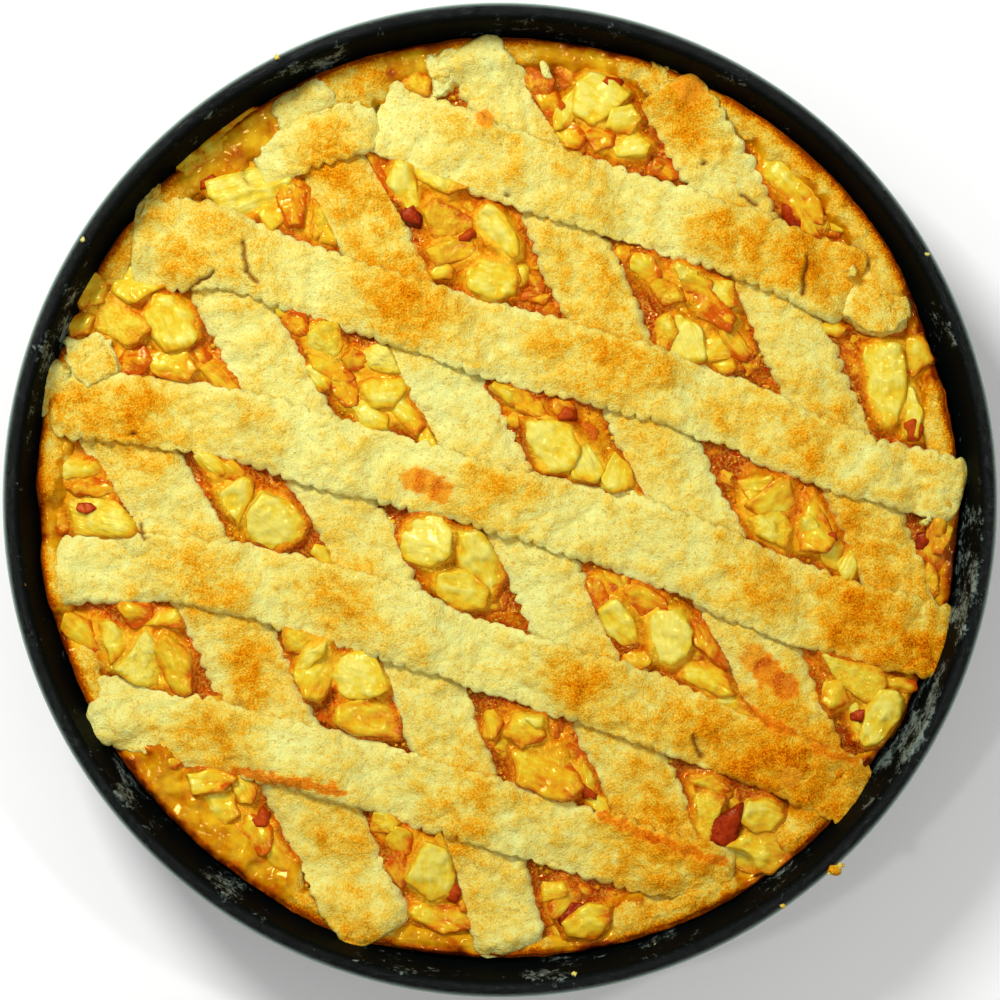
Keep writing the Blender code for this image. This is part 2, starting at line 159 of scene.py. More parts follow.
class Route:
    """A smooth centreline through chosen points (x, y, width)."""

    STEP = 1.5

    def __init__(self, knots: tuple[tuple[float, float, float], ...]) -> None:
        """Sample the curve evenly.

        Args:
            knots: the points that the strip passes through, with its width there.
        """
        fine = self._through(np.array(knots, float))
        lengths = np.concatenate(((0.0,), np.cumsum(np.hypot(*np.diff(fine[:, :2], axis=0).T))))
        self.length = lengths[-1]
        self.along = np.linspace(0.0, self.length, max(8, int(self.length / self.STEP)))
        self.rows = np.column_stack([np.interp(self.along, lengths, fine[:, axis]) for axis in range(3)])
        run = np.gradient(self.rows[:, :2], axis=0)
        self.forward = run / np.linalg.norm(run, axis=1, keepdims=True)

    @staticmethod
    def _through(knots: np.ndarray) -> np.ndarray:
        """Catmull-Rom curve through the knots."""
        padded = np.vstack((2 * knots[0] - knots[1], knots, 2 * knots[-1] - knots[-2]))
        pieces = []
        for index in range(1, len(padded) - 2):
            before, start, end, after = padded[index - 1:index + 3]
            share = np.linspace(0.0, 1.0, 24, endpoint=False)[:, None]
            pieces.append(0.5 * (
                2 * start + (end - before) * share
                + (2 * before - 5 * start + 4 * end - after) * share ** 2
                + (3 * start - 3 * end + after - before) * share ** 3))
        return np.vstack(pieces + [padded[-2:-1]])

    def at(self, along: np.ndarray) -> tuple[np.ndarray, np.ndarray, np.ndarray]:
        """Centre, leftward direction and width at distances along the route.

        Args:
            along: distances from the start in millimetres.

        Returns:
            Centres, unit vectors to the left, and widths.
        """
        centre = np.column_stack([np.interp(along, self.along, self.rows[:, axis]) for axis in (0, 1)])
        ahead = np.column_stack([np.interp(along, self.along, self.forward[:, axis]) for axis in (0, 1)])
        left = np.column_stack((-ahead[:, 1], ahead[:, 0]))
        return centre, left, np.interp(along, self.along, self.rows[:, 2])


class PlanMap:
    """How far places in plan lie outside a set of strips, kept on an even grid."""

    STEP = 0.5
    HALF = 142.0
    REACH = 16.0

    def __init__(self, routes: list[Route]) -> None:
        """Measure the grid once.

        Args:
            routes: the centrelines, with their widths.
        """
        self.line = np.arange(-self.HALF, self.HALF + self.STEP, self.STEP)
        self.values = np.full((len(self.line), len(self.line)), self.REACH)
        for route in routes:
            for x, y, width in route.rows:
                reach = 0.5 * width + self.REACH
                across = slice(*np.searchsorted(self.line, (x - reach, x + reach)))
                along = slice(*np.searchsorted(self.line, (y - reach, y + reach)))
                away = np.hypot(self.line[across, None] - x, self.line[None, along] - y) - 0.5 * width
                np.minimum(self.values[across, along], away, out=self.values[across, along])

    def at(self, plan: np.ndarray) -> np.ndarray:
        """Distance outside the nearest strip's edge in millimetres, negative on a strip."""
        place = (plan + self.HALF) / self.STEP
        cell = np.clip(np.floor(place).astype(int), 0, len(self.line) - 2)
        right, up = np.clip(place - cell, 0.0, 1.0).T
        column, row = cell.T
        values = self.values
        low = values[column, row] * (1.0 - right) + values[column + 1, row] * right
        high = values[column, row + 1] * (1.0 - right) + values[column + 1, row + 1] * right
        return low * (1.0 - up) + high * up


# ---------------------------------------------------------------------------
# Meshes


def select_only(piece: bpy.types.Object) -> None:
    """Make one object the active and only selected one."""
    bpy.ops.object.select_all(action="DESELECT")
    piece.select_set(True)
    bpy.context.view_layer.objects.active = piece


def new_grid(name: str, across: int, along: int) -> tuple[bpy.types.Object, np.ndarray, np.ndarray]:
    """Add a flat grid to be shaped.

    Args:
        name: the object's name.
        across: cells in its first direction.
        along: cells in its second direction.

    Returns:
        The object, and each vertex's place on the grid as two shares from 0 to 1.
    """
    bpy.ops.object.select_all(action="DESELECT")
    bpy.ops.mesh.primitive_grid_add(x_subdivisions=across, y_subdivisions=along, size=1.0)
    piece = bpy.context.active_object
    piece.name = name
    places = vertex_places(piece)
    return piece, places[:, 0] + 0.5, places[:, 1] + 0.5


def vertex_places(piece: bpy.types.Object) -> np.ndarray:
    """A mesh's vertices as rows of three."""
    places = np.empty(len(piece.data.vertices) * 3)
    piece.data.vertices.foreach_get("co", places)
    return places.reshape(-1, 3)


def place_vertices(piece: bpy.types.Object, places_mm: np.ndarray) -> None:
    """Move a mesh's vertices to places in millimetres."""
    piece.data.vertices.foreach_set("co", (places_mm * METRES_PER_MM).ravel())
    piece.data.update()


def store(piece: bpy.types.Object, name: str, values: np.ndarray) -> None:
    """Keep one number for each vertex under a name that materials can read."""
    layer = piece.data.attributes.new(name, "FLOAT", "POINT")
    layer.data.foreach_set("value", np.ascontiguousarray(values, np.float32))


def close_seams(piece: bpy.types.Object) -> None:
    """Merge the seam of a rolled-up grid, fill its open ends and turn its faces outwards."""
    select_only(piece)
    bpy.ops.object.mode_set(mode="EDIT")
    bpy.ops.mesh.select_all(action="SELECT")
    bpy.ops.mesh.remove_doubles(threshold=2e-6)
    bpy.ops.mesh.select_all(action="DESELECT")
    bpy.ops.mesh.select_mode(type="EDGE")
    bpy.ops.mesh.select_non_manifold()
    bpy.ops.mesh.fill_holes(sides=0)
    bpy.ops.mesh.select_all(action="SELECT")
    bpy.ops.mesh.normals_make_consistent(inside=False)
    bpy.ops.mesh.select_mode(type="VERT")
    bpy.ops.object.mode_set(mode="OBJECT")


def copy_of(piece: bpy.types.Object) -> bpy.types.Object:
    """A copy of a piece with its own mesh, linked to the scene."""
    twin = piece.copy()
    twin.data = piece.data.copy()
    bpy.context.scene.collection.objects.link(twin)
    return twin


def join(name: str, pieces: list[bpy.types.Object]) -> bpy.types.Object:
    """Join pieces into one.

    Args:
        name: the name of the whole.
        pieces: the pieces.

    Returns:
        The joined object.
    """
    bpy.ops.object.select_all(action="DESELECT")
    for piece in pieces:
        piece.select_set(True)
    bpy.context.view_layer.objects.active = pieces[0]
    bpy.ops.object.join()
    pieces[0].name = name
    return pieces[0]


def settle(piece: bpy.types.Object, slot: str, material: bpy.types.Material, *nodes: str) -> None:
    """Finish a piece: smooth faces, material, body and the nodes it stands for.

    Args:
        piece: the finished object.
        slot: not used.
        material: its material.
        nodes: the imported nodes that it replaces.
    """
    select_only(piece)
    bpy.ops.object.shade_smooth()
    piece.data.materials.clear()
    piece.data.materials.append(material)
    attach(piece, "root")
    if nodes:
        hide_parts(*nodes)
    LOG.info("%s: %d vertices", piece.name, len(piece.data.vertices))


# ---------------------------------------------------------------------------
# Materials


def linear(code: str) -> tuple[float, float, float, float]:
    """Linear colour of an sRGB hex value such as "e9d96c"."""
    values = [int(code[index:index + 2], 16) / 255.0 for index in (0, 2, 4)]
    turned = [v / 12.92 if v <= 0.04045 else ((v + 0.055) / 1.055) ** 2.4 for v in values]
    return (*turned, 1.0)


def scale_of(size_mm: float) -> float:
    """Texture scale on Object coordinates for a pattern of a real size."""
    return 1.0 / (size_mm * METRES_PER_MM)


class Shading:
    """A material's node tree while it is put together."""

    def __init__(self, name: str) -> None:
        """Start a material with an empty Principled shader.

        Args:
            name: the real material's name.
        """
        self.material = bpy.data.materials.new(name)
        self.material.use_nodes = True
        self.tree = self.material.node_tree
        self.shader = self.tree.nodes["Principled BSDF"]
        self.place = self.add("TexCoord", output="Object")

    def add(self, kind: str, inputs: dict | None = None, output: int | str = 0,
            stops: tuple[tuple[float, str], ...] = (), **settings) -> bpy.types.NodeSocket:
        """Add a node with its settings and links.

        Args:
            kind: the node's type, without its prefix.
            inputs: values or sockets, by input name or number.
            output: the output that is wanted.
            stops: places and hex colours, where the node is a colour ramp.
            settings: the node's own properties.

        Returns:
            The wanted output socket.
        """
        node = self.tree.nodes.new("ShaderNode" + kind)
        for key, value in settings.items():
            setattr(node, key, value)
        self.fill(node, inputs or {})
        for index, (place, code) in enumerate(stops):
            ends = node.color_ramp.elements
            end = ends[index] if index < 2 else ends.new(1.0)
            end.position = place
            end.color = linear(code)
        return node.outputs[output]

    def fill(self, node: bpy.types.Node, inputs: dict) -> None:
        """Give a node's inputs their values or links.

        Args:
            node: the node.
            inputs: values or sockets, by input name or number.
        """
        for key, value in inputs.items():
            if isinstance(value, bpy.types.NodeSocket):
                self.tree.links.new(value, node.inputs[key])
            else:
                node.inputs[key].default_value = value

    def finish(self, **inputs) -> bpy.types.Material:
        """Fill the shader's own inputs, named with underscores, and hand over the material."""
        self.fill(self.shader, {key.replace("_", " "): value for key, value in inputs.items()})
        return self.material


@dataclass(frozen=True)
class PastryFinish:
    """Short pastry, rolled, cut with a pinking wheel and baked.

    Its dry sandy crumb scatters light softly, pale where it stayed moist and golden to
    orange brown where it rose, with small darker pores. Where syrup ran over it the crumb
    is glazed and amber, and dark where the glaze caught against the tin. Syrup that soaked
    in leaves orange stains with scorched middles.
    """

    name: str = "short pastry, rolled and baked"
    pale: str = "e9e88e"
    cream: str = "e6da74"
    straw: str = "e6c344"
    golden: str = "e29c0c"
    brown: str = "d47200"
    dark: str = "a44400"
    # painted shade: the dark colour laid into cracks and small holes
    pore: str = "c4841c"
    crack: str = "864609"
    burnt: str = "6e2400"
    glaze_deep: str = "b45200"
    glaze: str = "c88200"
    glaze_light: str = "e0ae18"
    soaked: str = "eea424"
    orange: str = "e07a08"
    scorched: str = "b84002"
    crumb_mm: float = 0.55
    mottle_mm: float = 3.2
    speck_mm: float = 0.95
    ripple_mm: float = 8.0

    def build(self) -> bpy.types.Material:
        """Return the material."""
        shade = Shading(self.name)
        bake = shade.add("Attribute", output="Fac", attribute_name="bake")
        glaze = shade.add("Attribute", output="Fac", attribute_name="glaze")
        crack = shade.add("Attribute", output="Fac", attribute_name="crack")
        mottle = shade.add("TexNoise", {
            "Vector": shade.place, "Scale": scale_of(self.mottle_mm), "Detail": 3.0, "Roughness": 0.62})
        crumb = shade.add("TexNoise", {
            "Vector": shade.place, "Scale": scale_of(self.crumb_mm), "Detail": 2.0, "Roughness": 0.7})
        level = shade.add("Math", {0: mottle, 1: 0.6, 2: bake}, operation="MULTIPLY_ADD")
        grain = shade.add("Math", {0: bake, 1: 0.9, 2: 0.6}, operation="MULTIPLY_ADD")
        grained = shade.add("Math", {0: crumb, 1: 0.5}, operation="SUBTRACT")
        level = shade.add("Math", {0: grained, 1: grain, 2: level}, operation="MULTIPLY_ADD")
        level = shade.add("Math", {0: level, 1: 0.3}, operation="SUBTRACT")
        dry = shade.add("ValToRGB", {"Fac": level}, stops=(
            (0.0, self.pale), (0.2, self.cream), (0.4, self.straw), (0.6, self.golden),
            (0.82, self.brown), (1.0, self.dark)))
        specks = shade.add("TexNoise", {
            "Vector": shade.place, "Scale": scale_of(self.speck_mm), "Detail": 1.0})
        specks = shade.add("MapRange", {"Value": specks, "From Min": 0.6, "From Max": 0.72, "To Max": 0.5})
        dry = shade.add("Mix", {0: specks, 6: dry, 7: linear(self.pore)}, output=2, data_type="RGBA")
        # painted shade inside the cracks and small holes
        dry = shade.add("Mix", {0: crack, 6: dry, 7: linear(self.crack)}, output=2, data_type="RGBA")
        depth = shade.add("TexNoise", {
            "Vector": shade.place, "Scale": scale_of(6.0), "Detail": 4.0, "Roughness": 0.6})
        depth = shade.add("Math", {0: bake, 1: -0.42, 2: depth}, operation="MULTIPLY_ADD")
        wet = shade.add("ValToRGB", {"Fac": depth}, stops=(
            (0.0, self.burnt), (0.12, self.glaze_deep), (0.26, self.glaze), (0.48, self.glaze_light)))
        colour = shade.add("Mix", {0: glaze, 6: dry, 7: wet}, output=2, data_type="RGBA")
        stain = shade.add("Attribute", output="Fac", attribute_name="stain")
        soaked = shade.add("Math", {0: stain, 1: 0.7, 2: grained}, operation="MULTIPLY_ADD")
        soaked = shade.add("ValToRGB", {"Fac": soaked}, stops=(
            (0.2, self.soaked), (0.52, self.orange), (0.8, self.scorched)))
        spread = shade.add("MapRange", {"Value": stain, "From Max": 0.4, "To Max": 0.95})
        colour = shade.add("Mix", {0: spread, 6: colour, 7: soaked}, output=2, data_type="RGBA")
        dryness = shade.add("Math", {0: 1.0, 1: glaze}, operation="SUBTRACT")
        roughness = shade.add("Math", {0: dryness, 1: 0.42, 2: 0.1}, operation="MULTIPLY_ADD")
        strength = shade.add("Math", {0: dryness, 1: 0.62, 2: 0.06}, operation="MULTIPLY_ADD")
        ripple = shade.add("TexNoise", {
            "Vector": shade.place, "Scale": scale_of(self.ripple_mm), "Detail": 1.0})
        film = shade.add("Bump", {
            "Height": ripple, "Distance": 3.4 * METRES_PER_MM, "Strength": glaze}, output="Normal")
        normal = shade.add("Bump", {
            "Height": crumb, "Distance": 0.8 * METRES_PER_MM, "Strength": strength,
            "Normal": film}, output="Normal")
        shine = shade.add("Math", {0: glaze, 1: 0.5, 2: 0.05}, operation="MULTIPLY_ADD")
        return shade.finish(
            Base_Color=colour, Roughness=roughness, Normal=normal, Specular_IOR_Level=shine,
            Specular_Tint=linear("ffd478"))


@dataclass(frozen=True)
class SyrupFinish:
    """Apple syrup boiled down to a jelly, with pulp in it.

    It is amber and lets light through, deep red brown where it is thick, and here and
    there its skin dried in a net of fine wet wrinkles that glitter.
    """

    name: str = "apple syrup, boiled to a jelly"
    burnt: str = "982a00"
    deep: str = "ba4600"
    rust: str = "d06c00"
    amber: str = "dd9208"
    light: str = "e9b628"
    pulp_mm: float = 2.6
    grain_mm: float = 0.9
    wrinkle_mm: float = 1.3
    ripple_mm: float = 3.6

    def build(self) -> bpy.types.Material:
        """Return the material."""
        shade = Shading(self.name)
        flesh = shade.add("Attribute", output="Fac", attribute_name="flesh")
        pulp = shade.add("TexNoise", {
            "Vector": shade.place, "Scale": scale_of(self.pulp_mm), "Detail": 3.0,
            "Roughness": 0.6, "Distortion": 0.8})
        level = shade.add("Math", {0: pulp, 1: 0.7, 2: flesh}, operation="MULTIPLY_ADD")
        fine = shade.add("TexNoise", {
            "Vector": shade.place, "Scale": scale_of(self.grain_mm), "Detail": 2.0, "Roughness": 0.7})
        level = shade.add("Math", {0: fine, 1: 0.6, 2: level}, operation="MULTIPLY_ADD")
        level = shade.add("Math", {0: level, 1: 0.65}, operation="SUBTRACT")
        colour = shade.add("ValToRGB", {"Fac": level}, stops=(
            (0.0, self.burnt), (0.16, self.deep), (0.36, self.rust), (0.58, self.amber), (0.9, self.light)))
        wave = shade.add("TexNoise", {
            "Vector": shade.place, "Scale": scale_of(self.wrinkle_mm), "Detail": 2.0,
            "Distortion": 0.6})
        wave = shade.add("Math", {0: wave, 1: 0.5}, operation="SUBTRACT")
        wave = shade.add("Math", {0: wave}, operation="ABSOLUTE")
        net = shade.add("MapRange", {
            "Value": wave, "From Min": 0.0, "From Max": 0.08, "To Min": 1.0, "To Max": 0.0})
        # lighter lines along the wrinkle net: partly pulp strings, partly painted highlight of their glitter
        strings_and_glints = shade.add("Math", {0: net, 1: 0.4}, operation="MULTIPLY")
        colour = shade.add("Mix", {0: strings_and_glints, 6: colour, 7: linear(self.light)}, output=2,
                           data_type="RGBA")
        places = shade.add("TexNoise", {"Vector": shade.place, "Scale": scale_of(9.0), "Detail": 2.0})
        places = shade.add("MapRange", {
            "Value": places, "From Min": 0.45, "From Max": 0.6, "To Min": 0.3, "To Max": 1.0})
        ripple = shade.add("TexNoise", {
            "Vector": shade.place, "Scale": scale_of(self.ripple_mm), "Detail": 1.0})
        film = shade.add("Bump", {
            "Height": ripple, "Distance": 2.0 * METRES_PER_MM, "Strength": 0.8}, output="Normal")
        normal = shade.add("Bump", {
            "Height": net, "Distance": 0.3 * METRES_PER_MM, "Strength": places,
            "Normal": film}, output="Normal")
        return shade.finish(
            Base_Color=colour, Roughness=0.1, Normal=normal, Specular_IOR_Level=0.5,
            Specular_Tint=linear("ffd070"))


@dataclass(frozen=True)
class AppleFinish:
    """Cooked apple, cut in wedges: soft and glassy, with fibres that run along the wedge.

    Syrup has soaked in at the foot and the thin edges, which are amber and clearer.
    """

    name: str = "cooked apple, soaked in syrup"
    foot: str = "c45000"
    amber: str = "da9010"
    yellow: str = "dfae1a"
    butter: str = "e0c430"
    pale: str = "e6d864"
    fibre_mm: float = 1.2
    thread_mm: float = 0.8
    ripple_mm: float = 4.5

    def build(self) -> bpy.types.Material:
        """Return the material."""
        shade = Shading(self.name)
        flesh = shade.add("Attribute", output="Fac", attribute_name="flesh")
        rib = shade.add("Attribute", output="Fac", attribute_name="rib")
        grain = shade.add("Attribute", output="Vector", attribute_name="grain")
        fibre = shade.add("TexNoise", {
            "Vector": grain, "Scale": 1.0 / self.fibre_mm, "Detail": 3.0, "Roughness": 0.6,
            "Distortion": 0.4})
        cloud = shade.add("TexNoise", {
            "Vector": shade.place, "Scale": scale_of(4.5), "Detail": 3.0, "Roughness": 0.6})
        level = shade.add("Math", {0: fibre, 1: 0.9, 2: flesh}, operation="MULTIPLY_ADD")
        level = shade.add("Math", {0: cloud, 1: 1.4, 2: level}, operation="MULTIPLY_ADD")
        level = shade.add("Math", {0: level, 1: 1.15}, operation="SUBTRACT")
        colour = shade.add("ValToRGB", {"Fac": level}, stops=(
            (0.0, self.foot), (0.25, self.amber), (0.5, self.yellow), (0.72, self.butter), (1.0, self.pale)))
        thread = shade.add("TexNoise", {
            "Vector": grain, "Scale": 1.0 / self.thread_mm, "Detail": 2.0, "Roughness": 0.6})
        thread = shade.add("MapRange", {
            "Value": thread, "From Min": 0.54, "From Max": 0.7, "To Max": 0.4})
        colour = shade.add("Mix", {0: thread, 6: colour, 7: linear(self.butter)}, output=2,
                           data_type="RGBA")
        strength = shade.add("Math", {0: rib, 1: 0.7, 2: 0.35}, operation="MULTIPLY_ADD")
        ripple = shade.add("TexNoise", {
            "Vector": shade.place, "Scale": scale_of(self.ripple_mm), "Detail": 1.0})
        film = shade.add("Bump", {
            "Height": ripple, "Distance": 2.2 * METRES_PER_MM, "Strength": 0.8}, output="Normal")
        normal = shade.add("Bump", {
            "Height": fibre, "Distance": 0.45 * METRES_PER_MM, "Strength": strength,
            "Normal": film}, output="Normal")
        return shade.finish(
            Base_Color=colour, Roughness=0.1, Normal=normal, Subsurface_Weight=0.25,
            Subsurface_Radius=(1.0, 0.6, 0.12), Subsurface_Scale=0.002,
            Specular_IOR_Level=0.5, Specular_Tint=linear("ffdc88"))


@dataclass(frozen=True)
class PeelFinish:
    """Red apple skin, stewed soft: thin, dark and wet, brighter where it is stretched."""

    name: str = "red apple skin, stewed"
    dark: str = "5c1000"
    red: str = "962404"
    bright: str = "bc480c"
    fibre_mm: float = 1.6

    def build(self) -> bpy.types.Material:
        """Return the material."""
        shade = Shading(self.name)
        flesh = shade.add("Attribute", output="Fac", attribute_name="flesh")
        wave = shade.add("TexNoise", {
            "Vector": shade.place, "Scale": scale_of(self.fibre_mm), "Detail": 3.0, "Roughness": 0.6})
        level = shade.add("Math", {0: flesh, 1: 0.7, 2: wave}, operation="MULTIPLY_ADD")
        colour = shade.add("ValToRGB", {"Fac": level}, stops=(
            (0.15, self.dark), (0.5, self.red), (1.0, self.bright)))
        normal = shade.add("Bump", {
            "Height": wave, "Distance": 0.5 * METRES_PER_MM, "Strength": 0.7}, output="Normal")
        return shade.finish(
            Base_Color=colour, Roughness=0.25, Normal=normal, Specular_IOR_Level=0.25,
            Specular_Tint=linear("ffc080"))


@dataclass(frozen=True)
class EnamelFinish:
    """Black vitreous enamel on steel, fired glossy.

    The bead is clean and mirrors the light in thin lines; its outer edge carries a pale green
    painted highlight. On the wall, grease and old syrup dried in pale streaks and specks.
    """

    name: str = "black vitreous enamel on steel"
    black: str = "040807"
    film: str = "93a89c"
    # pale green painted highlight for the bead's outer edge
    edge: str = "9dbba8"
    patch_mm: float = 9.0
    streak_mm: float = 1.6

    def build(self) -> bpy.types.Material:
        """Return the material."""
        shade = Shading(self.name)
        used = shade.add("Attribute", output="Fac", attribute_name="used")
        painted_bead_highlight = shade.add("Attribute", output="Fac", attribute_name="painted_bead_highlight")
        patches = shade.add("TexNoise", {
            "Vector": shade.place, "Scale": scale_of(self.patch_mm), "Detail": 3.0, "Roughness": 0.6})
        streaks = shade.add("TexNoise", {
            "Vector": shade.place, "Scale": scale_of(self.streak_mm), "Detail": 4.0,
            "Roughness": 0.75, "Distortion": 0.8})
        both = shade.add("Math", {0: patches, 1: streaks}, operation="MULTIPLY")
        both = shade.add("Math", {0: used, 1: 0.15, 2: both}, operation="MULTIPLY_ADD")
        film = shade.add("MapRange", {"Value": both, "From Min": 0.39, "From Max": 0.49, "To Max": 0.6})
        colour = shade.add("Mix", {0: film, 6: linear(self.black), 7: linear(self.film)}, output=2,
                           data_type="RGBA")
        # painted highlight: the pale edge colour laid round the bead's outer edge
        colour = shade.add("Mix", {0: painted_bead_highlight, 6: colour, 7: linear(self.edge)}, output=2,
                           data_type="RGBA")
        dull = shade.add("Attribute", output="Fac", attribute_name="dull")
        roughness = shade.add("Math", {0: dull, 1: 0.5, 2: 0.06}, operation="MULTIPLY_ADD")
        roughness = shade.add("Math", {0: film, 1: -0.5, 2: roughness}, operation="MULTIPLY_ADD",
                              use_clamp=True)
        shine = shade.add("Math", {0: dull, 1: -0.14, 2: 0.16}, operation="MULTIPLY_ADD")
        shine = shade.add("Math", {0: film, 1: 0.5, 2: shine}, operation="MULTIPLY_ADD")
        normal = shade.add("Bump", {
            "Height": both, "Distance": 2.5 * METRES_PER_MM, "Strength": 0.6}, output="Normal")
        return shade.finish(
            Base_Color=colour, Roughness=roughness, Normal=normal, Specular_IOR_Level=shine)


# ---------------------------------------------------------------------------
# Lumps


def outline(corners: tuple[tuple[float, float], ...]) -> np.ndarray:
    """Convex outline round corners in plan.

    Args:
        corners: places in plan.

    Returns:
        The outline's corners anticlockwise, one row each.
    """
    ordered = sorted(corners)
    found: list[tuple[float, float]] = []
    for run in (ordered, ordered[::-1]):
        half: list[tuple[float, float]] = []
        for corner in run:
            while len(half) > 1 and (
                    (half[-1][0] - half[-2][0]) * (corner[1] - half[-2][1])
                    <= (half[-1][1] - half[-2][1]) * (corner[0] - half[-2][0])):
                half.pop()
            half.append(corner)
        found += half[:-1]
    return np.array(found, float)


def oval(x: float, y: float, length: float, width: float, turn: float) -> tuple[tuple[float, float], ...]:
    """Corners of an uneven oval, pointed at its ends.

    Args:
        x: place of its middle.
        y: place of its middle.
        length: its size along.
        width: its size across.
        turn: where its length points, in degrees.

    Returns:
        Its corners in plan.
    """
    draw = np.random.default_rng(int(abs(x) * 31.0 + abs(y) * 17.0))
    shares = np.array(((-1.0, 0.1), (-0.5, 1.0), (0.75, 0.8), (1.0, -0.3), (-0.1, -1.0)))
    shares = shares * draw.uniform(0.8, 1.15, shares.shape) * draw.choice((-1.0, 1.0), 2)
    ahead = np.array((math.cos(math.radians(turn)), math.sin(math.radians(turn))))
    aside = np.array((-ahead[1], ahead[0]))
    return tuple((x + 0.5 * (length * along * ahead[0] + width * across * aside[0]),
                  y + 0.5 * (length * along * ahead[1] + width * across * aside[1]))
                 for along, across in shares)


@dataclass(frozen=True)
class Chunk:
    """A lump with flat faces and soft edges, given by its corners in plan.

    It rises above the ground that it lies in, and sinks into it.
    """

    corners: tuple[tuple[float, float], ...]
    rise: float = 3.0
    sink: float = 3.0
    soft: float = 24.0
    steep: float = 0.35

    def sides(self) -> tuple[np.ndarray, np.ndarray, np.ndarray]:
        """Its middle in plan, and each side's outward direction and distance."""
        corners = outline(self.corners)
        middle = corners.mean(axis=0)
        runs = np.roll(corners, -1, axis=0) - corners
        out = np.column_stack((runs[:, 1], -runs[:, 0])) / np.linalg.norm(runs, axis=1)[:, None]
        return middle, out, np.einsum("ij,ij->i", out, corners - middle)

    def margin(self, plan: np.ndarray) -> np.ndarray:
        """How far each place in plan lies outside the lump in millimetres, negative inside."""
        middle, out, reach = self.sides()
        return np.max((plan - middle) @ out.T - reach, axis=1)

    def frame(self) -> tuple[np.ndarray, np.ndarray]:
        """Its long and short directions as two rows, and its half size along each."""
        away = outline(self.corners) - self.sides()[0]
        _, _, axes = np.linalg.svd(away, full_matrices=False)
        return axes, np.abs(away @ axes.T).max(axis=0)

    def body(self, unit: np.ndarray, seed: int) -> np.ndarray:
        """Turn the points of a ball into the lump.

        Args:
            unit: points on a ball of radius 1.
            seed: picks how its faces lean.

        Returns:
            Places in millimetres from the middle of its plan at the height of the ground.
        """
        draw = np.random.default_rng(seed)
        _, out, reach = self.sides()
        axes, half = self.frame()
        tall = 0.5 * (self.rise + self.sink)
        ground = self.sink - tall
        slope = draw.uniform(0.15, 1.0, len(reach)) * self.steep
        lean = draw.uniform(-0.24, 0.24, 2)
        ridge = draw.uniform(0.05, 0.3) * axes[1]
        normals = np.vstack((
            np.column_stack((out, slope)), ((*lean, 1.0),), ((*(lean + ridge), 1.0),),
            ((*(lean - ridge), 1.0),), ((0.0, 0.0, -1.0),)))
        reaches = np.concatenate((np.maximum(reach + slope * ground, 0.3), (tall,) * 4))
        aim = unit * (half[0], half[1], tall)
        aim = np.column_stack((aim[:, :2] @ axes, aim[:, 2]))
        aim /= np.linalg.norm(aim, axis=1)[:, None]
        share = np.maximum(aim @ normals.T, 0.0) / reaches
        radius = np.sum(share ** self.soft, axis=1) ** (-1.0 / self.soft)
        return aim * radius[:, None] - (0.0, 0.0, ground)


# ---------------------------------------------------------------------------
# The rim


@dataclass(frozen=True)
class Stretch:
    """Part of the rim: its middle and half angle in degrees, its width and its height."""

    angle: float
    half: float
    width: float
    height: float

    def share(self, angles: np.ndarray) -> np.ndarray:
        """How much of the stretch is felt at each angle, 0 to 1."""
        away = np.abs((angles - self.angle + 180.0) % 360.0 - 180.0)
        return 1.0 - ease(away, self.half - 1.6, self.half + 1.6)


DRY_STRETCHES = (
    Stretch(44.0, 17.0, 9.0, 34.0),
    Stretch(69.5, 5.0, 9.0, 33.0),
    Stretch(6.0, 9.0, 9.0, 34.0),
    Stretch(-47.0, 4.0, 12.0, 33.0),
    Stretch(-67.0, 8.5, 13.0, 32.5),
    Stretch(-88.0, 4.5, 7.0, 31.5),
    Stretch(-111.0, 7.0, 9.0, 32.5),
    Stretch(-154.0, 6.5, 9.0, 33.0),
    Stretch(-170.0, 4.0, 8.0, 33.5),
    Stretch(175.5, 4.8, 8.5, 34.0),
    Stretch(166.0, 5.5, 9.0, 34.0),
    Stretch(147.0, 4.0, 9.5, 34.0),
    Stretch(138.5, 3.5, 10.5, 33.5),
    Stretch(110.5, 5.5, 15.0, 34.0),
    Stretch(91.5, 6.0, 9.0, 33.0),
)

WET_STRETCHES = (
    Stretch(125.5, 9.0, 15.0, 32.0),
    Stretch(102.0, 4.0, 10.0, 32.5),
    Stretch(80.0, 6.0, 8.5, 32.0),
    Stretch(58.0, 6.0, 9.0, 32.5),
    Stretch(-51.0, 3.0, 9.0, 31.5),
    Stretch(-97.0, 5.0, 9.0, 31.5),
    Stretch(-130.5, 16.0, 15.0, 32.0),
    Stretch(157.0, 5.0, 8.0, 31.5),
)

# How far out the pie's edge stands at angles in degrees: it shrank from the wall in places
PIE_EDGE = (
    (0, 125.3), (20, 124.6), (33, 126.5), (95, 127.0), (112, 127.6), (125, 126.7), (165, 128.0),
    (180, 126.4), (190, 127.0), (200, 125.5), (235, 125.1), (250, 126.6), (262, 125.0),
    (285, 125.4), (300, 126.3), (315, 126.4), (322, 124.4), (336, 124.4), (343, 126.8),
    (352, 125.3), (360, 125.3),
)


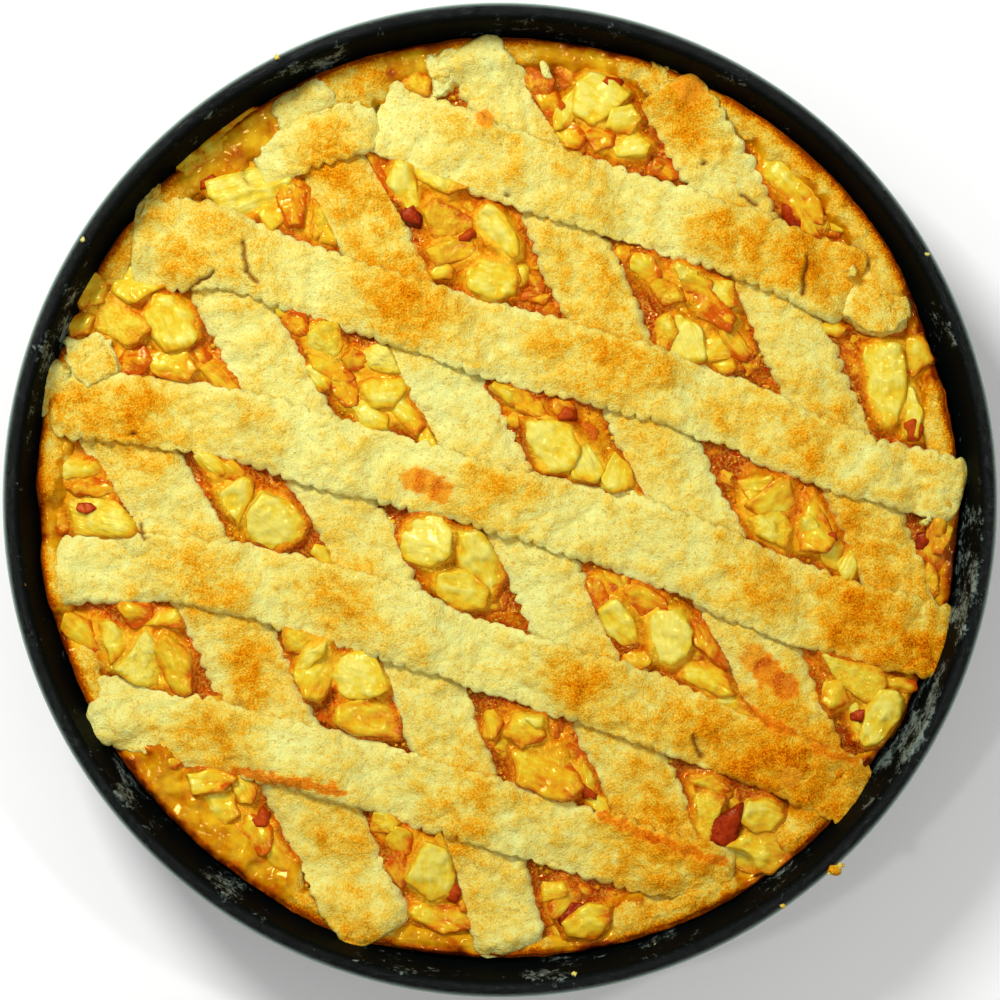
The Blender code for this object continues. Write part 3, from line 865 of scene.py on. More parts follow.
@dataclass
class RimProfile:
    """Where dry crust shows round the pie, and how wide and high its rim stands."""

    usual_width: float = 6.0
    usual_height: float = 30.6
    noise: Noise = field(default_factory=lambda: Noise(5))

    def ring(self, angles: np.ndarray) -> np.ndarray:
        """Places on the pie's edge at angles in degrees."""
        around = np.radians(angles)
        return PIE_RADIUS * np.column_stack((np.cos(around), np.sin(around), 0.0 * around))

    def edge(self, angles: np.ndarray) -> np.ndarray:
        """Radius of the pie's edge at angles in degrees."""
        known, radius = np.array(PIE_EDGE, float).T
        return np.interp(angles % 360.0, known, radius) + 0.3 * self.noise.layered(self.ring(angles), 4.0)

    def dry_share(self, angles: np.ndarray) -> np.ndarray:
        """How much dry crust shows at each angle in degrees, 0 to 1."""
        total = np.zeros(len(angles))
        for stretch in DRY_STRETCHES:
            total = np.maximum(total, stretch.share(angles))
        return total

    def size(self, angles: np.ndarray) -> tuple[np.ndarray, np.ndarray]:
        """Width and height of the rim.

        Args:
            angles: angles round the pie in degrees.

        Returns:
            The width and the height at each angle.
        """
        width = np.full(len(angles), self.usual_width)
        height = np.full(len(angles), self.usual_height)
        for stretch in WET_STRETCHES + DRY_STRETCHES:
            share = stretch.share(angles)
            width += (stretch.width - width) * share
            height += (stretch.height - height) * share
        width = width * (1.0 + 0.25 * self.noise.layered(self.ring(angles), 9.0))
        height = height + 0.5 * self.noise.layered(self.ring(angles) + 400.0, 8.0)
        return width, height


RIM = RimProfile()


@dataclass
class CrustRing:
    """The rim of the crust that stands against the tin, dry in places and glazed in others."""

    around: int = 1500
    section: int = 52
    foot: float = 20.0
    noise: Noise = field(default_factory=lambda: Noise(11))

    def build(self, material: bpy.types.Material) -> None:
        """Roll a grid into a ring and shape it.

        Args:
            material: the pastry.
        """
        piece, turn, roll = new_grid("crust_ring", self.around, self.section)
        angles = 360.0 * turn
        around = np.radians(angles)
        width, height = RIM.size(angles)
        dry = RIM.dry_share(angles)
        # Up the outer wall, over the crest, down the inner side and back underneath
        knots = np.array((0.0, 0.12, 0.18, 0.28, 0.45, 0.6, 0.72, 0.82, 0.9, 1.0))
        out = np.interp(roll, knots, (0.0, 0.0, 0.03, 0.14, 0.38, 0.62, 0.82, 0.97, 1.0, 0.0))
        up = np.interp(roll, knots, (0.0, 0.72, 0.87, 0.97, 1.0, 0.96, 0.85, 0.62, 0.0, 0.0))
        level = self.foot + (height - self.foot) * up
        radius = np.minimum(wall_radius(level) - 0.2, RIM.edge(angles)) - out * width
        places = np.column_stack((radius * np.cos(around), radius * np.sin(around), level))
        free = ease(up, 0.6, 0.9) * ease(out, 0.0, 0.1)
        swells = self.noise.layered(places + 300.0, 15.0, 2)
        lumps = self.noise.layered(places, 8.0, 2)
        crumb = self.noise.layered(places + 90.0, 2.2, 3)
        patchy = self.noise.layered(places + 190.0, 5.0, 3)
        glaze = np.maximum(1.0 - dry, ease(out + 0.22 * patchy, 0.72, 0.88))
        glaze = ease(glaze + 0.3 * patchy, 0.38, 0.62)
        rough = 1.0 - 0.93 * glaze
        places[:, 2] += free * (0.9 * swells + 0.6 * lumps + crumb * (0.12 + 0.3 * rough))
        pull = 1.0 - free * np.maximum(0.0, 0.6 * lumps * rough) / PIE_RADIUS
        places[:, :2] *= pull[:, None]
        place_vertices(piece, places)
        wall = 1.0 - ease(out * width, 0.6, 3.6)
        store(piece, "bake", 0.5 + 0.16 * lumps + 0.14 * patchy + 0.66 * wall)
        store(piece, "glaze", glaze)
        close_seams(piece)
        settle(piece, "browned_crust", material, "pastry_case")


@dataclass(frozen=True)
class Flap:
    """A folded or torn bit of pastry: its outline, foot height, thickness and browning."""

    corners: tuple[tuple[float, float], ...]
    foot: float
    thick: float
    browning: float = 0.25


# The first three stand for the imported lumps
FLAPS = (
    Flap(((94, 56), (94.2, 49), (97, 46.5), (100, 44.5), (104, 43.3), (108, 45.3), (111.5, 49.5),
          (112.3, 54), (110, 60), (105, 67), (97, 65)), 31.0, 4.6, 0.42),
    Flap(((-119, 38), (-118, 43.5), (-112, 46), (-108, 45.5), (-104.5, 42), (-103.3, 36),
          (-106, 31), (-116, 30)), 31.0, 4.4, 0.34),
    Flap(((-20.5, 121), (-19, 113), (-16.5, 109), (-13, 112), (-9, 116), (-8, 121), (-14, 124)),
         30.5, 3.8, 0.2),
    Flap(((-125, 35), (-121.5, 38.4), (-118, 38), (-116.4, 33), (-117, 27), (-119.5, 22), (-123.5, 21),
          (-126, 25)), 31.0, 5.2, 0.34),
    Flap(((94, 63.5), (96.5, 64), (97.5, 62), (96, 60.3), (94.2, 61)), 34.0, 2.2, 0.4),
    Flap(((-97, 83), (-91, 87), (-88, 82), (-92, 77), (-99, 76)), 31.5, 3.6, 0.35),
    Flap(((37, 113), (41, 119.5), (49, 116.5), (47, 112), (41, 110)), 31.0, 3.4, 0.45),
)


@dataclass
class Flaps:
    """Folded and torn bits of the crust where strips meet the rim."""

    fineness: int = 6
    seed: int = 300
    torn: float = 1.5

    def build(self, material: bpy.types.Material) -> None:
        """Model each flap from a ball.

        Args:
            material: the pastry.
        """
        for number, flap in enumerate(FLAPS, start=1):
            bpy.ops.object.select_all(action="DESELECT")
            bpy.ops.mesh.primitive_ico_sphere_add(subdivisions=self.fineness, radius=1.0)
            piece = bpy.context.active_object
            piece.name = f"pastry_flap_{number}"
            lump = Chunk(flap.corners, rise=0.7 * flap.thick, sink=2.0, soft=12.0, steep=0.5)
            unit = vertex_places(piece)
            places = lump.body(unit, self.seed + number)
            noise = Noise(self.seed + number)
            lumps = noise.layered(places, 7.0, 2)
            crumb = noise.layered(places + 60.0, 2.0, 3)
            places = places + unit * (0.6 * lumps + 0.4 * crumb)[:, None]
            for axis in (0, 1):
                tear = noise.layered(places * (1.0, 1.0, 0.3) + 100.0 * axis, 5.0, 3)
                places[:, axis] += self.torn * tear
            rim = ease(lump.margin(places[:, :2] + lump.sides()[0]), -3.0, 0.5)
            middle = lump.sides()[0]
            place_vertices(piece, places + (*middle, flap.foot))
            store(piece, "bake", flap.browning + 0.22 * lumps + 0.1 * crumb - 0.2 * rim)
            low = 1.0 - ease(places[:, 2], -0.2, 1.0)
            store(piece, "glaze", 0.8 * low)
            nodes = (f"crust_lump_{number:02d}",) if number <= 3 else ()
            settle(piece, "browned_crust", material, *nodes)


@dataclass
class Curl:
    """A thin curl of pastry that dropped on the fruit."""

    knots: tuple[tuple[float, float, float], ...] = (
        (11.2, 119.4, 1.6), (12.2, 117.4, 2.4), (12.6, 115.8, 2.2), (14.2, 114.8, 1.3))
    foot: float = 33.4
    around: int = 16
    steps: int = 40

    def build(self, material: bpy.types.Material) -> None:
        """Roll a grid into a bent, tapered rod.

        Args:
            material: the pastry.
        """
        route = Route(self.knots)
        piece, roll, share = new_grid("pastry_curl", self.around, self.steps)
        centre, left, width = route.at(share * route.length)
        turn = 2.0 * math.pi * roll
        ends = np.sqrt(np.clip(1.0 - np.abs(2.0 * share - 1.0) ** 6, 0.02, 1.0))
        half = 0.5 * width * ends
        plan = centre + left * (half * np.cos(turn))[:, None]
        places = np.column_stack((plan, self.foot + 0.8 * half * np.sin(turn)))
        rough = Noise(66).layered(places, 1.6, 2)
        places[:, 2] += 0.18 * rough
        place_vertices(piece, places)
        store(piece, "bake", 0.1 + 0.1 * rough)
        close_seams(piece)
        settle(piece, "browned_crust", material)


# Crumbs on the bead and the rim: x, y, height of the middle, size
RIM_CRUMBS = (
    (90.0, -99.5, 44.6, 3.0), (91.5, -98.2, 44.8, 1.6), (88.6, -100.4, 44.8, 1.3),
    (76.0, -109.0, 44.6, 1.4), (42.5, -121.5, 36.0, 2.0), (47.5, -120.0, 36.0, 1.6),
    (-128.5, -23.0, 43.6, 1.6), (-60.0, 119.0, 45.0, 1.6), (20.0, -127.5, 43.6, 1.8),
    (115.4, -6.2, 32.6, 2.8), (116.6, -5.2, 32.6, 1.6), (114.8, 66.0, 44.9, 1.0),
    (-112.0, 70.0, 45.2, 1.1),
)


@dataclass
class Crumbs:
    """Loose pastry crumbs on the rim and the tin's bead."""

    seed: int = 55

    def build(self, material: bpy.types.Material) -> None:
        """Model one crumb, copy it, turn and size each copy, and join them.

        Args:
            material: the pastry.
        """
        draw = np.random.default_rng(self.seed)
        bpy.ops.object.select_all(action="DESELECT")
        bpy.ops.mesh.primitive_ico_sphere_add(subdivisions=2, radius=1.0)
        first = bpy.context.active_object
        first.name = "crumb"
        ball = vertex_places(first)
        pieces = []
        for x, y, height, size in RIM_CRUMBS:
            crumb = copy_of(first)
            shape = ball * (1.0 + 0.35 * draw.normal(size=(len(ball), 1)).clip(-1.4, 1.4))
            shape = shape * draw.uniform(0.35, 0.6, 3) * size
            place_vertices(crumb, shape + (x, y, height))
            store(crumb, "bake", np.full(len(ball), draw.uniform(0.0, 0.6)))
            pieces.append(crumb)
        bpy.data.objects.remove(first)
        settle(join("pastry_crumbs", pieces), "golden_pastry", material)


# ---------------------------------------------------------------------------
# Strips


class Layer(Enum):
    """Which layer of the lattice a strip belongs to."""

    LOWER = "lower"
    UPPER = "upper"


@dataclass(frozen=True)
class Patch:
    """A browned patch: place, radius and strength."""

    x: float
    y: float
    radius: float
    strength: float


@dataclass(frozen=True)
class Split:
    """A line from one place to another where pastry cracked open, folded or let syrup soak in."""

    x: float
    y: float
    to_x: float
    to_y: float
    open: bool = True

    def away(self, plan: np.ndarray, shift: np.ndarray | float = 0.0) -> np.ndarray:
        """Measure how far places lie from the line.

        Args:
            plan: places in plan.
            shift: how far the line wanders sideways at each place, in millimetres.

        Returns:
            The distance of each place in millimetres.
        """
        start = np.array((self.x, self.y))
        run = np.array((self.to_x, self.to_y)) - start
        share = np.clip((plan - start) @ run / (run @ run), 0.0, 1.0)
        side = np.array((-run[1], run[0])) / np.linalg.norm(run)
        wander = np.broadcast_to(shift, len(plan))[:, None] * side
        return np.linalg.norm(plan - start - share[:, None] * run + wander, axis=1)


@dataclass
class LatticeStrip:
    """One pinked strip of pastry, draped over what lies under it."""

    name: str
    layer: Layer
    knots: tuple[tuple[float, float, float], ...]
    seed: int
    cell: float = 0.55
    top_cells: int = 40
    side_cells: int = 5
    under_cells: int = 8
    scallop_pitch: float = 4.4
    scallop_depth: float = 1.15
    round_end: float = 4.0

    def __post_init__(self) -> None:
        """Work out the centreline."""
        self.route = Route(self.knots)
        self.noise = Noise(self.seed)

    def section(self, roll: np.ndarray) -> tuple[np.ndarray, np.ndarray]:
        """A closed cross-section, flat under and pillowed on top.

        Args:
            roll: shares round the section, from one upper edge over the top and back under.

        Returns:
            Places across from -1 to 1, and heights from 0 to 1.
        """
        cells = self.top_cells + 2 * self.side_cells + self.under_cells
        top = self.top_cells / cells
        side = self.side_cells / cells
        stops = (0.0, top, top + side, 1.0 - side, 1.0)
        across = np.interp(roll, stops, (-1.0, 1.0, 0.93, -0.93, -1.0))
        pillow = 1.0 - 0.16 * across ** 2 - 0.36 * np.abs(across) ** 10
        height = np.interp(roll, stops, (0.48, 0.48, 0.0, 0.0, 0.48))
        return across, np.where(roll <= top, pillow, height)

    def build(self, lattice: "Lattice", material: bpy.types.Material) -> None:
        """Roll up a grid, sweep it along the route and drape it.

        Args:
            lattice: gives the height of what the strip lies on, and the browning.
            material: the pastry.
        """
        cells = self.top_cells + 2 * self.side_cells + self.under_cells
        steps = max(10, int(self.route.length / self.cell))
        piece, roll, share = new_grid(f"baked_{self.name}", cells, steps)
        across, up = self.section(roll)
        along = share * self.route.length
        centre, left, width = self.route.at(along)
        half = 0.5 * width + self._edge(along, across)
        to_end = np.minimum(along, self.route.length - along)
        taper = np.sqrt(np.clip(1.0 - (1.0 - np.clip(to_end / self.round_end, 0.0, 1.0)) ** 2, 0.0, 1.0))
        half = half * (0.55 + 0.45 * taper)
        plan = centre + left * (half * across)[:, None]
        wobble = self.noise.layered(flat(plan), 14.0, 2)
        plan = plan + left * (0.9 * wobble)[:, None]
        base, thick = lattice.rests_at(self.layer, plan)
        thick = thick * (0.3 + 0.7 * np.clip(to_end / self.round_end, 0.0, 1.0) ** 0.5)
        swells = self.noise.layered(flat(plan) + 60.0, 17.0, 1)
        lumps = self.noise.layered(flat(plan) + 160.0, 8.0, 2)
        dents = self.noise.layered(flat(plan) + 260.0, 3.2, 2)
        crumb = self.noise.layered(flat(plan) + 360.0, 1.4, 1)
        folds = np.exp(-(self.noise.layered(flat(plan) + 460.0, 13.0, 2) / 0.05) ** 2)
        folds = folds * ease(self.noise.at(flat(plan) + 560.0, 18.0), 0.05, 0.35)
        free = ease(up, 0.4, 0.9)
        crack, crease = lattice.splits(plan)
        height = base + thick * up + free * (
            1.1 * swells + 0.85 * lumps + 0.44 * dents + 0.22 * crumb - 1.7 * crack - crease
            - 0.35 * folds)
        place_vertices(piece, np.column_stack((plan, height)))
        edge = 1.0 - ease(np.abs(across), 0.7, 1.0)
        bake = lattice.browning(plan) + (0.14 * swells + 0.14 * lumps) * edge + 0.07 * dents
        stain = lattice.stain(plan)
        bake = bake - 0.1 * (1.0 - edge) + 0.12 * folds
        store(piece, "bake", bake)
        store(piece, "stain", stain)
        # the crack mask also paints the cracks dark, as painted shade inside them
        store(piece, "crack", crack)
        close_seams(piece)
        settle(piece, "golden_pastry", material, self.name)

    def _edge(self, along: np.ndarray, across: np.ndarray) -> np.ndarray:
        """How far the pinked edge stands out at each vertex.

        Args:
            along: distance along the strip.
            across: place across the strip, -1 to 1.

        Returns:
            The outward shift in millimetres, round lobes with sharp notches between.
        """
        side = np.where(across > 0.0, 1.0, 0.0)
        line = np.column_stack((along, 50.0 * side, 0.0 * along))
        uneven = self.noise.layered(line, 11.0, 2)
        phase = along / self.scallop_pitch + 0.37 * side * self.seed + 0.35 * uneven
        lobes = np.sqrt(np.abs(np.sin(np.pi * phase))) - 0.75
        depth = self.scallop_depth * np.clip(1.0 + 1.1 * self.noise.layered(line + 90.0, 16.0, 1), 0.3, 1.8)
        ragged = 0.5 * self.noise.layered(line + 190.0, 2.5, 2)
        return (depth * lobes + ragged) * np.abs(across) ** 3


@dataclass
class Lattice:
    """Both layers of strips, and the heights, browning, stains and cracks that they share."""

    strips: tuple[LatticeStrip, ...]
    patches: tuple[Patch, ...]
    stains: tuple[Patch, ...]
    cracks: tuple[Split, ...]
    seams: tuple[Split, ...]
    lower_base: float = 0.9
    lower_thick: float = 4.6
    upper_base: float = 2.4
    upper_climb: float = 2.9
    upper_thick: float = 3.2
    drape: float = 8.0
    spread: float = 1.35
    seam_width: float = 1.9
    seam_strength: float = 0.75
    crack_wander: float = 1.12
    crack_width: float = 0.6
    fold_width: float = 1.5
    fold_depth: float = 0.9
    noise: Noise = field(default_factory=lambda: Noise(21))

    def __post_init__(self) -> None:
        """Measure how far places lie from the strips of each layer."""
        self.past = {layer: PlanMap([strip.route for strip in self.strips if strip.layer is layer])
                     for layer in Layer}

    def past_any(self, plan: np.ndarray) -> np.ndarray:
        """Distance outside the nearest strip of either layer, negative on a strip."""
        return np.minimum(self.past[Layer.LOWER].at(plan), self.past[Layer.UPPER].at(plan))

    def over_lower(self, plan: np.ndarray) -> np.ndarray:
        """How fully each place is held up by a lower strip, 0 to 1."""
        return 1.0 - ease(self.past[Layer.LOWER].at(plan), -3.0, self.drape)

    def rests_at(self, layer: Layer, plan: np.ndarray) -> tuple[np.ndarray, np.ndarray]:
        """What a strip lies on, and its thickness.

        Args:
            layer: the strip's layer.
            plan: places in plan.

        Returns:
            The height of the underside, and the thickness, at each place.
        """
        ground = filling_height(plan)
        angles = np.degrees(np.arctan2(plan[:, 1], plan[:, 0]))
        _, crest = RIM.size(angles)
        radius = np.hypot(plan[:, 0], plan[:, 1])
        on_rim = ease(radius, 112.0, 120.0)
        if layer is Layer.LOWER:
            base = ground + self.lower_base
            thick = np.full(len(plan), self.lower_thick)
        else:
            held = self.over_lower(plan)
            base = ground + self.upper_base + self.upper_climb * held
            thick = np.full(len(plan), self.upper_thick)
        lying = np.maximum(base, crest - 1.2)
        return base + (lying - base) * on_rim, thick * (1.0 - 0.35 * on_rim)

    def browning(self, plan: np.ndarray) -> np.ndarray:
        """How browned the pastry is at each place, 0 pale to 1 dark."""
        soft = self.noise.layered(flat(plan) + 500.0, 6.0, 3)
        spots = np.zeros(len(plan))
        for patch in self.patches:
            away = np.hypot(plan[:, 0] - patch.x, plan[:, 1] - patch.y) / (self.spread * patch.radius)
            spots += patch.strength * np.exp(-away ** 2) * np.clip(0.9 + 0.6 * soft, 0.0, 2.0)
        return (0.22 + 0.16 * self.noise.layered(flat(plan) + 700.0, 20.0, 2)
                + 0.56 * (1.0 - np.exp(-2.0 * spots)))

    def stain(self, plan: np.ndarray) -> np.ndarray:
        """How much orange syrup has soaked in at each place, 0 to 1."""
        total = np.zeros(len(plan))
        soft = self.noise.layered(flat(plan), 3.0, 3)
        ragged = self.noise.layered(flat(plan) + 40.0, 1.2, 2)
        for patch in self.stains:
            away = np.hypot(plan[:, 0] - patch.x, plan[:, 1] - patch.y) / patch.radius
            total += patch.strength * (1.0 - ease(away + 0.3 * soft + 0.2 * ragged, 0.75, 1.15))
        for seam in self.seams:
            away = seam.away(plan) / self.seam_width
            total += self.seam_strength * (1.0 - ease(away + 0.7 * soft + 0.3 * ragged, 0.5, 1.0))
        return np.clip(total, 0.0, 1.0)

    def splits(self, plan: np.ndarray) -> tuple[np.ndarray, np.ndarray]:
        """Cracks and folds in the strips.

        Args:
            plan: places in plan.

        Returns:
            How cracked each place is, 0 to 1, and how deep its fold is in millimetres.
        """
        crack = np.zeros(len(plan))
        crease = np.zeros(len(plan))
        shift = self.crack_wander * self.noise.layered(flat(plan), 5.0, 3)
        for split in self.cracks:
            away = split.away(plan, shift)
            if split.open:
                crack = np.maximum(crack, np.exp(-(away / self.crack_width) ** 2))
            else:
                crease = np.maximum(crease, self.fold_depth * np.exp(-(away / self.fold_width) ** 2))
        return crack, crease

    def build(self, material: bpy.types.Material) -> None:
        """Build every strip."""
        for strip in self.strips:
            strip.build(self, material)


STRIPS = (
    LatticeStrip("upper_strip_1", Layer.UPPER, (
        (-66, 90, 12), (-56, 95, 14), (-46, 99, 14), (-33, 103, 13)), 101),
    LatticeStrip("upper_strip_2", Layer.UPPER, (
        (-34, 105, 21), (-18, 99, 21), (12, 87, 20), (54, 74, 19), (78, 65, 20), (97, 57, 22)), 102),
    LatticeStrip("upper_strip_3", Layer.UPPER, (
        (-100, 70, 24), (-80, 69, 25), (-66, 65, 20), (-50, 59, 19), (0, 43, 21), (50, 29, 20),
        (90, 12, 18), (126, 2, 18)), 103),
    LatticeStrip("upper_strip_4", Layer.UPPER, (
        (-122, 26, 17), (-80, 22, 20), (-40, 11, 20), (0, 0, 19), (40, -11, 22),
        (80, -28, 22), (124, -40, 21)), 104),
    LatticeStrip("upper_strip_5", Layer.UPPER, (
        (-121, -19, 19), (-80, -20, 19), (-40, -30, 22), (0, -44, 19), (40, -57, 20),
        (70, -69, 18), (99, -81, 19)), 105),
    LatticeStrip("upper_strip_6", Layer.UPPER, (
        (-112, -56, 18), (-80, -64, 19), (-50, -71, 19), (-20, -80, 19), (10, -89, 19),
        (40, -98, 19), (64, -101, 14)), 106),
    LatticeStrip("lower_strip_1", Layer.LOWER, (
        (-107, 24, 22), (-93, 2, 22), (-69, -45, 22), (-44, -97, 22), (-32, -119, 21)), 107),
    LatticeStrip("lower_strip_2", Layer.LOWER, (
        (-84, 76, 18), (-67, 43, 20), (-39, -10, 20), (-17, -59, 20), (4, -123, 20)), 108),
    LatticeStrip("lower_strip_3", Layer.LOWER, (
        (-56, 112, 17), (-39, 80, 20), (-12, 26, 21), (15, -27, 20), (39, -80, 20),
        (52, -106, 18)), 109),
    LatticeStrip("lower_strip_4", Layer.LOWER, (
        (-9, 124, 17), (10, 92, 19), (23, 61, 20), (48, 5, 21), (76, -52, 20),
        (90, -82, 18)), 110),
    LatticeStrip("lower_strip_5", Layer.LOWER, (
        (45, 113, 19), (61, 87, 19), (82, 40, 19), (103, -10, 18), (115, -42, 17)), 111),
)

BROWN_PATCHES = (
    Patch(15, 90, 12, 0.3), Patch(65, 75, 9, 0.35), Patch(72, 65, 8, 0.3), Patch(90, 65, 10, 0.4),
    Patch(-85, 72, 10, 0.3), Patch(-22, 54, 9, 0.6), Patch(30, 37, 12, 0.5), Patch(67, 22, 9, 0.35),
    Patch(90, 15, 10, 0.35), Patch(-110, 24, 8, 0.5), Patch(-97, 22, 8, 0.55),
    Patch(0, 0, 9, 0.3), Patch(70, -22, 10, 0.35), Patch(95, -30, 10, 0.55), Patch(112, -38, 12, 1.1),
    Patch(-87, -13, 7, 0.35), Patch(-75, -22, 8, 0.3), Patch(-40, -24, 9, 0.35),
    Patch(20, -48, 9, 0.35), Patch(40, -60, 8, 0.35), Patch(65, -66, 10, 0.7), Patch(85, -75, 12, 1.3),
    Patch(-80, -63, 9, 0.35), Patch(-10, -85, 9, 0.6), Patch(35, -98, 10, 0.4), Patch(52, -100, 9, 0.5),
    Patch(-45, 90, 8, 0.5), Patch(-34, 73, 8, 0.5), Patch(34, -75, 7, 0.35), Patch(38, -88, 7, 0.35),
    Patch(20, 62, 6, 0.3), Patch(48, 107, 8, 0.7), Patch(103, -12, 8, 0.35),
    Patch(-45, -97, 9, 0.4), Patch(-40, -115, 7, 0.4), Patch(-66, -45, 7, 0.35),
)

STAINS = (
    Patch(-23.5, 5.6, 3.6, 0.4), Patch(-19.5, 4.2, 4.1, 0.4), Patch(-16, 2.2, 3.5, 0.45),
    Patch(69.5, -43, 4, 0.4), Patch(73, -47, 4.5, 0.65), Patch(77.5, -51, 4, 0.8),
    Patch(52, 113, 5, 0.5), Patch(-4, 103.5, 2.6, 0.5), Patch(79, -75, 2.8, 0.4),
)

# Syrup that crept out along the seams between strips
SEAMS = (
    Split(28, -86, 42, -92), Split(42, -92, 60, -98.5), Split(67, -57, 80, -64),
    Split(85, -67, 96, -71), Split(-71, -74, -44, -79),
)

# Cracks and folds; the cracks are painted dark, painted shade inside them. Short ones, where both ends
# nearly meet, are scorched spots, and at (55, 92) a small hole whose dark colour is painted shade
CRACKS = (
    Split(-69.5, 70, -69, 62), Split(-69, 62, -66, 59), Split(-82, 16, -83, 31, False),
    Split(-95, -28, -94.5, -11, False), Split(-71, -56, -69, -73, False), Split(82, 56, 84, 66),
    Split(-78, 62, -84, 57), Split(55, 92, 55.6, 92.4), Split(1.7, 83, 2.0, 83.1),
    Split(-100, 17.4, -99.4, 17.3), Split(66, 83, 70, 80.5),
    Split(114, -1, 116, 6, False), Split(-98, -7, -96.5, -10.5),
    Split(-50, 104, -40, 106, False), Split(55, -70, 53, -64), Split(45, -72, 47, -79, False),
)


# ---------------------------------------------------------------------------
# Filling


class Cut(Enum):
    """What the face of a piece of apple is like."""

    GLASSY = "glassy, with fibres that hardly show"
    RIDGED = "ridged along its fibres"
    TORN = "torn, with sandy flesh"


@dataclass(frozen=True)
class Slice:
    """A piece of apple: its outline, tone from 0 amber to 1 pale, cut, and rise over the syrup."""

    corners: tuple[tuple[float, float], ...]
    tone: float
    cut: Cut = Cut.GLASSY
    rise: float = 3.0

    UNDER_SYRUP = 1.5
    WARP = 0.6

    def lump(self) -> Chunk:
        """Its solid shape, wider than what shows by what the syrup covers."""
        corners = np.array(self.corners, float)
        away = corners - corners.mean(axis=0)
        wider = corners + away * (self.UNDER_SYRUP / np.linalg.norm(away, axis=1))[:, None]
        return Chunk(tuple(map(tuple, wider)), rise=self.rise)

    def shape(self, unit: np.ndarray, seed: int) -> tuple[np.ndarray, np.ndarray, np.ndarray]:
        """Turn the points of a ball into the piece.

        Args:
            unit: points on a ball of radius 1.
            seed: makes it differ from the others.

        Returns:
            Places from its middle at the syrup's height, how pale each is, and places along
            its fibres.
        """
        lump = self.lump()
        axes, half = lump.frame()
        places = lump.body(unit, seed)
        noise = Noise(seed + 5000)
        own = np.column_stack((places[:, :2] @ axes.T, places[:, 2]))
        stretch = {Cut.GLASSY: (0.22, 0.8, 0.8), Cut.RIDGED: (0.16, 1.3, 1.3), Cut.TORN: (1.5, 1.7, 1.7)}
        fibres = own * stretch[self.cut]
        swell = noise.layered(own, 6.0, 2)
        ridges = noise.layered(fibres, 2.4, 2)
        depth = {Cut.GLASSY: 0.12, Cut.RIDGED: 0.36, Cut.TORN: 0.3}[self.cut]
        free = ease(places[:, 2], -1.0, 0.8)
        warp = np.column_stack([noise.layered(own + shift, 5.0, 2) for shift in (200.0, 300.0)])
        places = places + unit * (0.3 * swell + depth * free * ridges)[:, None]
        places[:, :2] += self.WARP * warp
        # painted light: paler on the side towards the key light at the upper left, turned a little at random
        draw = np.random.default_rng(seed + 900)
        toward_light = np.array((-0.7, 0.7)) + draw.uniform(-0.7, 0.7, 2)
        painted_light = places[:, :2] @ toward_light / np.hypot(*half)
        rim = ease(lump.margin(places[:, :2] + lump.sides()[0]), -2.6, -0.4)
        pale = (self.tone - 0.34 * rim - 0.3 * (1.0 - ease(places[:, 2], 0.0, 2.2))
                + 0.26 * painted_light + 0.1 * swell)
        return places, pale, fibres


